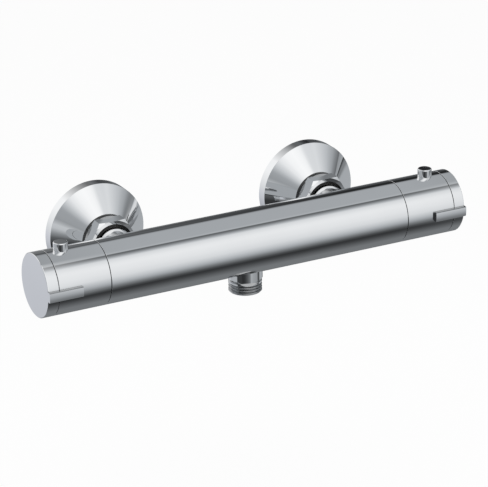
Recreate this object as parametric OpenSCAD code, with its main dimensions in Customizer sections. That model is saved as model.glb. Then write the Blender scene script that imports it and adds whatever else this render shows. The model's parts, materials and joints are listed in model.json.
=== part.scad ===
// Thermostatic shower valve of the exposed bar type.
// The origin is on the wall, on the middle line of the hot supply's thread.
// +X is to the right, +Y goes into the wall and +Z is up. Hot is on the left.

/* [Bar] */
// Distance between the two inlet centres
inlet_pitch = 150; // [146:1:156]
// Distance from the wall to the middle line of the bar
wall_reach = 67.5; // [64:0.5:80]
// Diameter of the bar and of both handles
bar_d = 40; // [39:0.5:44]
// How far the fixed body reaches past the middle of an inlet
body_end = 27.45; // [26.8:0.05:29]
// Open seam between the body and a handle
seam_gap = 0.3; // [0.2:0.05:0.6]
// Small slope on the edges beside an open seam
seam_edge = 0.2; // [0.1:0.05:0.3]
// Outer diameter of the two inlet tails
tail_d = 23; // [22:0.1:24]
// Thickness of the walls that part the three water channels
web_t = 2.4; // [1.8:0.1:3]
// Wall between the water channels and the outside
body_wall = 3.4; // [2.8:0.1:4]
// Bore of the two inlets
inlet_bore_d = 14; // [12:0.5:14.4]

/* [Union nuts] */
// Distance from the middle line of the bar to the front of a union nut
nut_stand_off = 36.5; // [34:0.5:40]
// Width of the nut across its flats
nut_af = 30; // [29:0.1:32]
// Length of the six-sided part of the nut
nut_hex_len = 9; // [8:0.1:11]
// Thickness of the round flange behind the flats
nut_flange_t = 1.9; // [1.4:0.1:2.6]
// Diameter of that flange
nut_flange_d = 31.8; // [30:0.1:33]
// Diameter of the recess in the front of the nut
nut_recess_d = 26.4; // [25:0.1:27]
// Depth of that recess
nut_recess = 1.5; // [1:0.1:2]
// Thickness of the lip that pulls on the retaining ring
nut_lip = 1.4; // [1.1:0.1:1.8]
// Diameter of the pipe thread in the nut
nut_thread_d = 26.441; // [26:0.001:27]
// Slope cut on the corners of the nut, along its axis
nut_chamfer = 1; // [0.6:0.1:1.4]
// Thickness of the retaining ring
ring_t = 1.2; // [0.9:0.1:1.5]
// Outer diameter of the retaining ring
ring_d = 24; // [23.2:0.1:25]
// Depth of the ring's groove in the tail
ring_groove = 1; // [0.7:0.1:1.2]
// Opening in the retaining ring
ring_split = 3; // [2:0.5:5]
// Length of the tail beyond the retaining ring
tail_lip = 1; // [0.8:0.1:1.4]
// Diameter of the tail inside the nut
tail_neck_d = 20.8; // [20.4:0.1:21.2]
// Thickness of the strainer washer
washer_t = 1.6; // [1.2:0.1:2.2]
// Diameter of one hole in the strainer
strainer_hole_d = 1.6; // [1:0.1:1.8]
// Bridge between two holes of the strainer
strainer_bridge = 1; // [0.6:0.1:1.4]
// Thickness of the strainer's sieve
sieve_t = 0.5; // [0.3:0.1:0.8]

/* [Wall unions and wall plates] */
// Diameter of the pipe thread that goes into the wall
stud_d = 20.955; // [20:0.001:22]
// Length of that thread
stud_len = 16; // [12:1:24]
// How far the wall thread sits below the bar's middle line
union_drop = 12; // [9:0.5:12.5]
// Bore of the wall thread
stud_bore_d = 11; // [9:0.5:13]
// Bore of the thread that takes the nut
union_bore_d = 16; // [14:0.5:18]
// Thickness of the crank between the two threads
crank_t = 8; // [7:0.5:9]
// Space between the crank and the wall
crank_back = 2.5; // [2:0.5:4]
// Width of the crank at its waist
crank_waist = 21; // [18:0.5:24]
// Metal left at the blind end of each bore in the crank
crank_skin = 2; // [1.5:0.1:3]
// Diameter of a wall plate at the wall
plate_d = 64; // [62:0.5:72]
// Height of the straight rim of a wall plate
plate_rim = 7.2; // [6:0.1:9]
// Diameter of the front face of a wall plate
plate_front_d = 32.4; // [31:0.1:34]
// Sheet thickness of a wall plate
plate_t = 1.2; // [0.8:0.1:1.6]
// Rounding step on the edge of the rim
plate_edge = 0.5; // [0.2:0.1:0.8]

/* [Check valves] */
// Outer diameter of a check valve cage
cage_d = 16.1; // [15.6:0.1:16.4]
// Length of the cage
cage_len = 14.8; // [14:0.1:16]
// Wall of the cage
cage_wall = 1.05; // [0.8:0.05:1.3]
// Diameter of the hole in the valve seat
seat_d = 10.4; // [9:0.1:11]
// Thickness of the seat and of the guide
seat_t = 1.6; // [1.2:0.1:2]
// Diameter of the poppet's disc
poppet_d = 12.4; // [11.6:0.1:12.8]
// Thickness of the poppet's disc
poppet_t = 1.6; // [1.2:0.1:2]
// Diameter of the poppet's stem
stem_d = 2.2; // [1.8:0.1:2.6]
// Diameter of the hub that guides the stem
guide_d = 5; // [4:0.1:5.6]
// Width of the three arms that hold that hub
guide_arm = 1.4; // [1:0.1:2]
// Wire thickness of the valve's spring
check_wire = 0.7; // [0.5:0.1:0.9]

/* [Outlet] */
// How far the outlet sits to the left of the middle
outlet_shift = 3; // [0:0.5:6]
// Diameter of the hose thread
outlet_thread_d = 20.955; // [20:0.001:22]
// Bottom of the outlet below the bar's middle line
outlet_reach = 31.9; // [31:0.1:36]
// Where the hose thread starts below the bar's middle line
thread_start = 24; // [23.6:0.1:25]
// Diameter of the collar above the thread
collar_d = 21.9; // [21.4:0.1:23]
// Height of the cone under the collar
collar_cone = 1.2; // [0.8:0.1:1.6]
// Slope at both ends of the hose thread
thread_chamfer = 0.6; // [0.4:0.1:0.9]
// Width across the wrench flats on the collar
outlet_af = 18; // [17.4:0.1:18.8]
// How far the wrench flats run below the start of the thread
flat_run = 1.2; // [0.6:0.1:1.6]
// Height of the slope at the foot of the wrench flats
flat_slope = 1; // [0.5:0.1:1.2]
// Turn of the wrench flats away from the front
flat_turn = -16; // [-30:1:30]
// Water bore of the outlet
outlet_bore_d = 14; // [11:0.5:15]
// Diameter of the thread that screws into the body
outlet_root_d = 18.3; // [17.6:0.1:19]
// Depth of the round pocket that takes the collar
collar_pocket = 4; // [3.4:0.1:4.4]
// Radial space around the collar in its pocket
collar_gap = 0.15; // [0.1:0.05:0.3]
// Thickness of the flat outlet gasket
gasket_t = 1; // [0.6:0.1:1.4]
// Diameter of the inner boss that carries the outlet thread
outlet_boss_d = 26; // [25:0.5:28]
// Height of the top of that boss below the bar's middle line
outlet_boss_top = 12; // [11:0.1:13]

/* [Handles] */
// Length of a handle with its end cap
handle_len = 41.05; // [40:0.05:44]
// Length of the end cap that shows
cap_len = 7.2; // [6.6:0.1:8.4]
// Width of the groove before the end cap
groove_gap = 0.3; // [0.15:0.05:0.6]
// Wall of the handle sleeve
sleeve_wall = 2; // [1.8:0.1:2.4]
// Thickness of the end cap's face
cap_face = 2.2; // [1.6:0.1:3]
// Length of the cap's spigot inside the sleeve
cap_spigot = 2; // [1.4:0.1:2.4]
// Wall of that spigot
spigot_wall = 2; // [1.6:0.1:2.4]
// Small slope around the edge of the end face
cap_edge = 0.4; // [0.2:0.05:0.7]
// Length of the grip rib
rib_len = 22; // [18:0.5:24]
// Width of the grip rib
rib_w = 6.4; // [5:0.1:8]
// Height of the grip rib above the handle
rib_h = 2.2; // [1.4:0.1:3]
// Depth of the slot that holds the grip rib
rib_slot = 1; // [0.7:0.1:1.2]
// How far the rib sits below the middle line
rib_drop = 0.6; // [0:0.1:1.5]
// Small slope along the edges of the rib
rib_edge = 0.4; // [0.2:0.1:0.8]
// Thickness of the carrier's disc
carrier_disc = 2; // [1.6:0.1:2.4]
// Diameter of the carrier's hub
hub_d = 15; // [14:0.1:16]
// Length of the carrier's hub inboard of its disc
hub_len = 17.7; // [16.5:0.1:18]
// Thickness of the carrier's ribs
gusset_t = 1.6; // [1.2:0.1:2.2]
// Length of those ribs along the handle
gusset_len = 11; // [8:0.5:14]
// Space between those ribs and the sleeve
gusset_gap = 1.2; // [0.6:0.1:2]
// Diameter of the fixing screw
screw_d = 4; // [3:0.1:4.4]
// Length of the fixing screw below its head
screw_len = 13; // [10:0.5:14]
// Diameter of the screw's head
screw_head_d = 7.2; // [6:0.1:8]
// Height of the screw's head
screw_head_h = 2.6; // [2:0.1:3.2]
// Width across the flats of the screw's socket
screw_socket_af = 2.5; // [2:0.1:3]

/* [Stop buttons] */
// Distance from the end of the handle to the button's middle
button_inset = 17.6; // [16.6:0.1:18.4]
// Diameter of the button
button_d = 9; // [8:0.1:9.6]
// Height of the button above the handle
button_rise = 4.7; // [3.6:0.1:6]
// Rounding of the button's top edge
button_edge = 0.8; // [0.4:0.1:1.2]
// Diameter of the button's inner flange
button_flange_d = 10.8; // [10.2:0.1:11.2]
// Thickness of that flange
button_flange_t = 1.6; // [1.2:0.1:1.8]
// How far the button can be pressed
button_travel = 2.6; // [2.5:0.1:2.8]
// Width of the button's stop tongue
tongue_w = 5; // [4:0.1:6]
// Thickness of the tongue
tongue_t = 1.3; // [1:0.1:1.4]
// Length of the tongue inboard of the flange
tongue_len = 11.4; // [10.6:0.1:12]
// Outer diameter of the button's spring
button_spring_d = 6.8; // [6:0.1:7]
// Wire thickness of that spring
button_wire = 0.7; // [0.5:0.1:0.9]
// Depth of the spring's blind hole in the button
button_bore = 2.6; // [2:0.1:3.4]
// Height of the spring's seat above the middle line
spring_seat = 6.2; // [5.8:0.1:6.6]
// Wall between a stop finger and the pressed tongue
finger_clear = 0.3; // [0.2:0.05:0.5]
// Thickness of the stop ring
stop_ring_t = 3.2; // [2.6:0.1:3.6]
// Space between the stop ring and the handle around it
ring_gap = 0.8; // [0.6:0.1:1.2]
// Length of the stop fingers
finger_len = 6; // [5:0.1:6.4]
// Width of a stop finger as an angle
finger_angle = 18; // [10:1:24]
// Turn from the everyday stop to full cold
cold_turn = 190; // [150:1:200]
// Extra turn towards hot with the button pressed
hot_turn = 42; // [34:1:60]
// Turn from shut to the water-saving stop
eco_turn = 45; // [36:1:52]
// Turn from shut to fully open
open_turn = 90; // [84:1:100]

/* [Bonnets and spindles] */
// Diameter of the thread in both ends of the body
mouth_d = 29; // [28:0.1:30]
// Space between the bonnet's flange and the handle around it
flange_gap = 2; // [1.4:0.1:2.5]
// Thickness of the bonnet's flange
flange_t = 2; // [1.6:0.1:2.4]
// Diameter of the bonnet's barrel
barrel_d = 24; // [23.6:0.1:24.6]
// Length of the bonnet's barrel
barrel_len = 3.75; // [3.4:0.05:4.2]
// Width across the flats of the bonnet's hexagon
bonnet_af = 20; // [18:0.1:20.6]
// Length of the bonnet's hexagon
bonnet_hex_len = 4.5; // [3.6:0.1:5]
// Diameter of both spindles
spindle_d = 8; // [7.6:0.1:8.2]
// Radial clearance of a turning or sliding fit
run_fit = 0.06; // [0.03:0.01:0.1]
// Radial clearance between pieces that stay together
still_fit = 0.05; // [0.02:0.01:0.1]
// Radial clearance of the fixing screw in its thread
thread_fit = 0.01; // [0.01:0.005:0.03]
// Number of teeth on the end of a spindle
spline_teeth = 20; // [12:1:24]
// Height of a spline tooth
spline_h = 0.45; // [0.3:0.05:0.6]
// How far the tips of the teeth lie below the spindle's surface
spline_drop = 0.15; // [0.1:0.05:0.3]
// Length of the splined end
spline_len = 14; // [10:0.5:15]
// Diameter of the collar on a spindle
spindle_collar_d = 11.6; // [10.6:0.1:12]
// Thickness of that collar
spindle_collar_t = 1.4; // [1:0.1:1.6]
// Diameter of the seal groove around a spindle
spindle_groove_d = 11.2; // [10.6:0.1:11.6]
// Width of the seal groove around a spindle
spindle_groove_w = 2; // [1.7:0.1:2.4]

/* [Thermostat] */
// Length of the nose that lets out the mixed water
nose_len = 6; // [5:0.1:7]
// Length of the hot water zone
hot_zone = 10; // [9.4:0.1:11]
// Length of the land between hot and cold
mid_land = 6; // [5.4:0.1:7]
// Length of the cold water zone, centred on the cold inlet
cold_zone = 16; // [15:0.1:18]
// Length of the land above the cold zone
top_land = 7; // [6:0.1:7.4]
// Diameter of the nose's bore in the body
nose_d = 18; // [17.6:0.1:18.4]
// Diameter of the hot zone's bore
hot_bore_d = 23; // [22.6:0.1:23.6]
// Diameter of the cold zone's bore
cold_bore_d = 26; // [25.4:0.1:27]
// Diameter of the cage between its lands
cage_body_d = 19.8; // [19.2:0.1:20.4]
// Bore in which the shuttle slides
shuttle_bore_d = 16; // [15.6:0.1:16.4]
// Bore of the cage's nose
cage_nose_bore_d = 11.2; // [10.6:0.1:11.8]
// Thickness of the metal behind the nose
cage_step = 0.5; // [0.3:0.1:0.8]
// Length of the port that lets hot water into its zone
hot_port_len = 6; // [5:0.1:7]
// Diameter of the port that takes the mixed water away
mixed_port_d = 15; // [13:0.1:16]
// Distance from the start of the hot zone to its windows
window_inset = 2.5; // [2:0.1:2.8]
// Length of the hot windows
hot_window = 6.5; // [6:0.1:7]
// Length of the cold windows
cold_window = 6; // [5:0.1:7]
// Width of all windows of the cage
window_w = 8; // [6:0.1:9]
// Cross-section of the three large seal rings
seal_section = 1.55; // [1.4:0.05:1.7]
// Width of a seal groove in a land
groove_w = 2; // [1.8:0.1:2.2]
// Wall of the shuttle
shuttle_wall = 1.15; // [0.9:0.05:1.3]
// Length of the shuttle
shuttle_len = 14.5; // [14:0.1:15]
// Part of the cold windows that the shuttle covers at the everyday setting
cold_lap = 1.5; // [1.2:0.1:1.8]
// Distance from the shuttle's hot end to its web
web_inset = 6; // [5.4:0.1:6.4]
// Thickness of the shuttle's web
shuttle_web = 2.5; // [2:0.1:3]
// Diameter of one hole in that web
web_hole_d = 1.8; // [1.4:0.1:2]
// Diameter of the wax element's sensor
wax_d = 9.1; // [8.6:0.1:9.4]
// Length of the sensor inboard of the shuttle's web
wax_nose = 13.4; // [12:0.1:13.6]
// Slope on the sensor's end
wax_slope = 1.5; // [1:0.1:2]
// Diameter of the wax element's flange
wax_flange_d = 11; // [10.4:0.1:11.6]
// Thickness of that flange
wax_flange_t = 1.5; // [1:0.1:2]
// Diameter of the wax element's neck
wax_neck_d = 6; // [5:0.1:7]
// Length of the neck
wax_neck = 5; // [4:0.1:6]
// Diameter of the wax element's piston
piston_d = 3.2; // [2.6:0.1:3.6]
// Length of the piston that stands out
piston_len = 9.7; // [9:0.1:10.4]
// Diameter of the plunger that the piston pushes
plunger_d = 10.4; // [9.8:0.1:10.6]
// Thickness of the plunger
plunger_t = 1.5; // [1.2:0.1:1.8]
// Diameter of the lift nut
lift_d = 13.2; // [12.8:0.1:13.4]
// Bore of the lift nut that holds the overload spring
lift_bore_d = 10.8; // [10.6:0.1:11]
// Length of that bore
lift_bore = 7; // [6.4:0.1:8]
// Thickness of the lift nut's lip
lift_lip = 1.3; // [1:0.1:1.6]
// Opening in that lip
lift_mouth_d = 8.4; // [7.4:0.1:9]
// Metal between the spring bore and the screw thread
lift_floor = 2; // [1.5:0.1:2.5]
// Length of the lift nut's thread
lift_thread = 6.5; // [6:0.1:7]
// Space between the end of the spindle's thread and the lift nut's floor
thread_gap = 1; // [0.8:0.1:1.4]
// Outer diameter of the overload spring
overload_spring_d = 9.8; // [9:0.1:10.2]
// Wire thickness of the overload spring
overload_wire = 1.3; // [1:0.1:1.5]
// Wire thickness of the return spring
return_wire = 1; // [0.8:0.1:1]
// How far the lift nut moves in one full turn of the handle
lift_lead = 5.5; // [4:0.1:5.6]

/* [Flow control] */
// Metal between the hot channel and the headwork's pocket
flow_floor = 2.5; // [2:0.1:3]
// Length of the bore for the headwork's nose
flow_nose = 3; // [2.6:0.1:3.4]
// Length of the round chamber about the headwork
flow_chamber = 7; // [6.6:0.1:7.4]
// Diameter of that chamber
chamber_d = 26; // [25:0.1:27]
// Diameter of the headwork's nose
headwork_d = 19; // [18.6:0.1:19.2]
// Bore that holds the two ceramic discs
disc_bore_d = 15.4; // [15:0.1:15.8]
// Thickness of a ceramic disc
disc_t = 2.8; // [2.4:0.1:3]
// Space between the two ceramic discs
disc_gap = 0.05; // [0.03:0.01:0.08]
// Thickness of the rubber nose seal
nose_seal_t = 2.9; // [2.6:0.1:3.1]
// Hole in the nose seal
nose_seal_bore_d = 10.8; // [10:0.1:11.4]
// Space between the headwork's nose and the floor of its pocket
nose_gap = 0.7; // [0.4:0.1:1]
// Thickness of the spindle's driving disc
driver_t = 3; // [2.6:0.1:3.2]
// Width of the driving key
key_w = 2.9; // [2.4:0.1:3.2]
// Height of the driving key
key_h = 1.1; // [0.9:0.1:1.3]
// Length of the driving key
key_len = 10; // [8:0.5:13]
// Diameter of the circle inside which the disc ports lie
port_d = 10.6; // [9.8:0.1:10.8]
// Web between the two ports of a disc
port_web = 2.4; // [2:0.1:2.8]
// Length of the side windows of the headwork
side_window = 3.2; // [2.8:0.1:3.4]
// Width of those windows
side_window_w = 10; // [8:0.1:11]
// Diameter of the port that brings the mixed water
flow_port_d = 13; // [11:0.1:14]
// Wall between the headwork's chamber and the outlet channel
inlet_margin = 0.5; // [0.4:0.1:0.8]

/* [Hidden] */
$fn = 72;

// Extra length of every cut, so that no skin is left
over = 1;
// Space that a piece keeps from what it doesn't rest on
free_gap = 0.3;

bar_r = bar_d / 2;
inlet_x = inlet_pitch / 2;
body_half = inlet_x + body_end;
channel_r = bar_r - body_wall;
tail_r = tail_d / 2;
tail_neck_r = tail_neck_d / 2;
inlet_bore_r = inlet_bore_d / 2;

// Directions of the three channels about the bar's middle line
hot_angle = 30;
mixed_angle = 150;
outlet_angle = 270;

// Places along a tail, counted from the bar's middle line
lip_y = nut_stand_off + nut_recess;
ring_y = lip_y + nut_lip;
tail_end = ring_y + ring_t + tail_lip;
union_end = tail_end + washer_t;
hex_end = nut_stand_off + nut_hex_len;
nut_rear = hex_end + nut_flange_t;
cage_start = tail_end - cage_len - still_fit;
lip_r = tail_neck_r + 2 * still_fit;

// Places along the thermostat, counted from the middle of the bar
cold_start = inlet_x - cold_zone / 2;
cold_end = inlet_x + cold_zone / 2;
mid_start = cold_start - mid_land;
hot_start = mid_start - hot_zone;
nose_start = hot_start - nose_len;
mouth_start = cold_end + top_land;
channel_right = nose_start - flow_floor;

nose_seal_x = nose_start + nose_len / 2;
mid_seal_x = mid_start + mid_land / 2;
top_seal_x = cold_end + top_land / 2;

// Places along the flow control, counted from the middle of the bar
channel_left = inlet_x + inlet_bore_r + inlet_margin;
flow_floor_x = channel_left + flow_floor;
flow_nose_end = flow_floor_x + flow_nose;
flow_mouth = flow_nose_end + flow_chamber;

// Places along a handle
sleeve_start = body_half + seam_gap;
handle_end = sleeve_start + handle_len;
cap_start = handle_end - cap_len;
sleeve_end = cap_start - groove_gap;
sleeve_in_r = bar_r - sleeve_wall;
flange_r = sleeve_in_r - flange_gap;
stop_ring_r = sleeve_in_r - ring_gap;
spigot_start = sleeve_end - cap_spigot;
carrier_end = spigot_start - seam_gap / 2;
carrier_start = carrier_end - carrier_disc;
hub_start = carrier_start - hub_len;
button_x = handle_end - button_inset;
spindle_end = carrier_start - free_gap;

// Places of the bonnet outside the body
flange_end = body_half + flange_t;
barrel_end = flange_end + barrel_len;
bonnet_end = barrel_end + bonnet_hex_len;
groove_x = flange_end + barrel_len / 2 - spindle_groove_w / 2;
ring_end = flange_end + stop_ring_t;
finger_end = ring_end + finger_len;
collar_x = body_half - spindle_collar_t - free_gap * 2;

// Heights of a stop button above the middle line, with the button at the top
button_top = bar_r + button_rise;
flange_top = sqrt(pow(sleeve_in_r, 2) - pow(button_flange_d / 2, 2)) - free_gap;
flange_foot = flange_top - button_flange_t;
tongue_top = flange_foot + tongue_t;
pressed_r = norm([tongue_top - button_travel, tongue_w / 2]);
finger_in_r = pressed_r + finger_clear;
// Angle about the bar at which a button's tongue points up
tongue_rest = 90;

// Places of the moving pieces of the thermostat
hot_opening = lift_lead * cold_turn / 360;
hot_window_start = hot_start + window_inset;
shuttle_start = hot_window_start + hot_opening;
shuttle_end = shuttle_start + shuttle_len;
cold_window_start = shuttle_end - cold_lap;
web_start = shuttle_start + web_inset;
web_end = web_start + shuttle_web;
cage_nose_end = hot_start + cage_step;
neck_start = web_end + wax_flange_t;
neck_end = neck_start + wax_neck;
plunger_start = neck_end + piston_len;
plunger_end = plunger_start + plunger_t;
lift_lip_end = plunger_start - free_gap;
lift_start = lift_lip_end - lift_lip;
lift_bore_end = lift_lip_end + lift_bore;
lift_floor_end = lift_bore_end + lift_floor;
lift_end = lift_floor_end + lift_thread;
lift_hex_bore = lift_d + 2 * run_fit;
screw_start = lift_floor_end + thread_gap;

// Places of the discs of the flow control
fixed_disc_start = flow_floor_x + nose_seal_t;
turning_disc_start = fixed_disc_start + disc_t + disc_gap;
driver_start = turning_disc_start + disc_t;
driver_end = driver_start + driver_t;

// Cylinder along the bar between two places
module rod_x(x0, x1, r, sides = $fn) {
  translate([x0, 0, 0]) rotate([0, 90, 0]) cylinder(h = x1 - x0, r = r, $fn = sides);
}

// Cylinder towards the wall between two places
module rod_y(y0, y1, r, sides = $fn) {
  translate([0, y0, 0]) rotate([-90, 0, 0]) cylinder(h = y1 - y0, r = r, $fn = sides);
}

// Upright cylinder between two heights
module rod_z(z0, z1, r) {
  translate([0, 0, z0]) cylinder(h = z1 - z0, r = r);
}

// Body turned about the bar, from points of radius and place
module turned_x(points) {
  rotate([0, 90, 0]) rotate_extrude() polygon(points);
}

// Body turned about an inlet, from points of radius and place
module turned_y(points) {
  rotate([-90, 0, 0]) rotate_extrude() polygon(points);
}

// Round seal ring about the bar
module seal_x(x, r_in, r_out) {
  section = (r_out - r_in) / 2;
  translate([x, 0, 0]) rotate([0, 90, 0]) rotate_extrude()
    translate([r_in + section, 0]) circle(r = section, $fn = 24);
}

// Wedge about the bar that leaves half a web at both of its sides
module wedge_x(x0, x1, angle, half_angle, web) {
  tip = web / 2 / sin(half_angle);
  spread = bar_d * tan(half_angle);
  rotate([angle, 0, 0]) translate([x0, 0, 0]) rotate([90, 0, 90])
    linear_extrude(height = x1 - x0) polygon([[tip, 0], [tip + bar_d, spread], [tip + bar_d, -spread]]);
}

// Length of one of the three water channels inside a given radius
module channel_x(x0, x1, angle, r) {
  intersection() {
    rod_x(x0, x1, r);
    wedge_x(x0, x1, angle, 60, web_t);
  }
}

// The bar's own place in front of the wall
module on_bar() {
  translate([inlet_x, -wall_reach, union_drop]) children();
}

// The hot inlet on the left and the cold inlet on the right
module hot_inlet() {
  on_bar() translate([-inlet_x, 0, 0]) children();
}

module cold_inlet() {
  on_bar() translate([inlet_x, 0, 0]) children();
}

// The right end carries the temperature handle, and the left end mirrors it
module right_end() {
  on_bar() children();
}

module left_end() {
  on_bar() mirror([1, 0, 0]) children();
}

// Body, its tails and the pockets that are cut into it
module tail() {
  turned_y([
    [0, 0], [tail_r, 0], [tail_r, lip_y - free_gap], [tail_neck_r, lip_y - free_gap],
    [tail_neck_r, ring_y], [tail_neck_r - ring_groove, ring_y],
    [tail_neck_r - ring_groove, ring_y + ring_t], [tail_neck_r, ring_y + ring_t],
    [tail_neck_r, tail_end], [0, tail_end]
  ]);
}

module tail_bore(root) {
  rod_y(sqrt(pow(root, 2) - pow(inlet_bore_r, 2)) - over, cage_start + over, inlet_bore_r);
  rod_y(cage_start, tail_end + over, cage_d / 2 + still_fit);
}

module thermo_pocket() {
  turned_x([
    [0, nose_start], [nose_d / 2, nose_start], [nose_d / 2, hot_start], [hot_bore_d / 2, hot_start],
    [hot_bore_d / 2, cold_start], [cold_bore_d / 2, cold_start], [cold_bore_d / 2, mouth_start],
    [mouth_d / 2, mouth_start], [mouth_d / 2, body_half + over], [0, body_half + over]
  ]);
  channel_x(channel_right - over, nose_start + over, mixed_angle, mixed_port_d / 2);
  difference() {
    channel_x(channel_right - over, hot_start + hot_port_len, hot_angle, mouth_d / 2);
    rod_x(channel_right - 2 * over, hot_start + hot_port_len + over, (nose_d + web_t) / 2);
  }
}

module flow_pocket() {
  turned_x([
    [0, flow_floor_x], [headwork_d / 2 + 2 * still_fit, flow_floor_x],
    [headwork_d / 2 + 2 * still_fit, flow_nose_end], [chamber_d / 2, flow_nose_end],
    [chamber_d / 2, flow_mouth], [mouth_d / 2, flow_mouth], [mouth_d / 2, body_half + over],
    [0, body_half + over]
  ]);
  channel_x(channel_left - over, flow_floor_x + over, mixed_angle, flow_port_d / 2);
  difference() {
    channel_x(channel_left - over, flow_nose_end + over, outlet_angle, chamber_d / 2);
    rod_x(channel_left - 2 * over, flow_nose_end + 2 * over, (headwork_d + web_t) / 2);
  }
}

module outlet_cut() {
  translate([-outlet_shift, 0, 0]) {
    rod_z(-bar_r, -outlet_boss_top + over, outlet_root_d / 2 + still_fit);
    rod_z(-bar_r - over, collar_pocket - bar_r, collar_d / 2 + collar_gap);
  }
}

module body() {
  color("gainsboro") on_bar() difference() {
    union() {
      turned_x([
        [0, -body_half], [bar_r - seam_edge, -body_half], [bar_r, seam_edge - body_half],
        [bar_r, body_half - seam_edge], [bar_r - seam_edge, body_half], [0, body_half]
      ]);
      for (side = [-1, 1]) translate([side * inlet_x, 0, 0]) tail();
    }
    difference() {
      for (angle = [hot_angle, mixed_angle, outlet_angle])
        channel_x(-channel_left, channel_right, angle, channel_r);
      translate([-outlet_shift, 0, 0]) rod_z(-bar_r, -outlet_boss_top, outlet_boss_d / 2);
    }
    thermo_pocket();
    mirror([1, 0, 0]) flow_pocket();
    translate([-inlet_x, 0, 0]) tail_bore(channel_r);
    translate([inlet_x, 0, 0]) tail_bore(cold_bore_d / 2);
    outlet_cut();
  }
}

// Wall side of one inlet
module wall_union() {
  crank_end = wall_reach - crank_back;
  crank_start = crank_end - crank_t;
  thread_r = nut_thread_d / 2 - still_fit;
  difference() {
    union() {
      rod_y(union_end, crank_end, thread_r);
      translate([0, 0, -union_drop]) {
        rod_y(crank_start, crank_end, thread_r);
        rod_y(crank_end - over, wall_reach + stud_len, stud_d / 2);
      }
      translate([-crank_waist / 2, crank_start, -union_drop]) cube([crank_waist, crank_t, union_drop]);
    }
    rod_y(union_end - over, crank_end - crank_skin, union_bore_d / 2);
    translate([0, 0, -union_drop])
      rod_y(crank_start + crank_skin, wall_reach + stud_len + over, stud_bore_d / 2);
  }
}

module wall_plate() {
  rim_y = wall_reach - plate_rim;
  rim_r = plate_d / 2;
  front_r = plate_front_d / 2;
  hole_r = nut_thread_d / 2 + still_fit;
  lean = atan2(rim_r - front_r, rim_y - nut_rear);
  skin = plate_t / cos(lean);
  turned_y([
    [hole_r, nut_rear], [front_r, nut_rear], [rim_r - plate_edge, rim_y - plate_edge / tan(lean)],
    [rim_r, rim_y + plate_edge], [rim_r, wall_reach], [rim_r - plate_t, wall_reach],
    [rim_r - plate_t, rim_y + plate_t], [front_r - skin + tan(lean) * plate_t, nut_rear + plate_t],
    [hole_r, nut_rear + plate_t]
  ]);
}

module union_nut() {
  corner_r = nut_af / sqrt(3);
  difference() {
    union() {
      intersection() {
        rod_y(nut_stand_off, hex_end, corner_r, 6);
        turned_y([
          [0, nut_stand_off], [corner_r - nut_chamfer * 2, nut_stand_off],
          [corner_r, nut_stand_off + nut_chamfer], [corner_r, hex_end - nut_chamfer],
          [corner_r - nut_chamfer * 2, hex_end], [0, hex_end]
        ]);
      }
      rod_y(hex_end - nut_chamfer, nut_rear, nut_flange_d / 2);
    }
    rod_y(nut_stand_off - over, lip_y, nut_recess_d / 2);
    rod_y(lip_y - over, ring_y + over, lip_r);
    rod_y(ring_y, nut_rear + over, nut_thread_d / 2);
  }
}

module nut_ring() {
  difference() {
    rod_y(ring_y, ring_y + ring_t, ring_d / 2);
    rod_y(ring_y - over, ring_y + ring_t + over, tail_neck_r - ring_groove + still_fit);
    translate([-ring_split / 2, ring_y - over, -ring_d]) cube([ring_split, ring_t + 2 * over, ring_d]);
  }
}

module strainer() {
  hole_pitch = strainer_hole_d + strainer_bridge;
  rows = floor((union_bore_d / 2 - strainer_hole_d) / hole_pitch);
  difference() {
    rod_y(tail_end, union_end, ring_d / 2);
    rod_y(tail_end + sieve_t, union_end + over, union_bore_d / 2 + still_fit);
    for (row = [0 : rows])
      for (step = [0 : max(row * 6 - 1, 0)])
        rotate([0, step * 360 / max(row * 6, 1), 0]) translate([row * hole_pitch, 0, 0])
          rod_y(tail_end - over, tail_end + sieve_t + over, strainer_hole_d / 2, 24);
  }
}

// Check valve in one tail
module check_cage() {
  cage_end = cage_start + cage_len;
  seat_y = cage_end - seat_t;
  arm_r = cage_d / 2 - cage_wall / 2;
  difference() {
    rod_y(cage_start, cage_end, cage_d / 2);
    rod_y(cage_start - over, seat_y, cage_d / 2 - cage_wall);
    rod_y(cage_start, cage_end + over, seat_d / 2);
  }
  difference() {
    union() {
      rod_y(cage_start, cage_start + seat_t, guide_d / 2);
      for (turn = [0, 120, 240])
        rotate([0, turn, 0]) translate([0, cage_start, -guide_arm / 2]) cube([arm_r, seat_t, guide_arm]);
    }
    rod_y(cage_start - over, cage_start + seat_t + over, stem_d / 2 + run_fit);
  }
}

module check_poppet() {
  seat_y = cage_start + cage_len - seat_t;
  disc_y = seat_y - free_gap - poppet_t;
  turned_y([
    [0, cage_start], [stem_d / 2, cage_start], [stem_d / 2, disc_y],
    [poppet_d / 2, disc_y], [poppet_d / 2, disc_y + poppet_t / 2],
    [(seat_d - poppet_t) / 2, disc_y + poppet_t], [0, disc_y + poppet_t]
  ]);
}

module check_spring() {
  spring_in = stem_d / 2 + free_gap;
  spring_end = cage_start + cage_len - seat_t - poppet_t - 2 * free_gap;
  difference() {
    rod_y(cage_start + seat_t, spring_end, spring_in + check_wire);
    rod_y(cage_start, spring_end + over, spring_in);
  }
}

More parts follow.
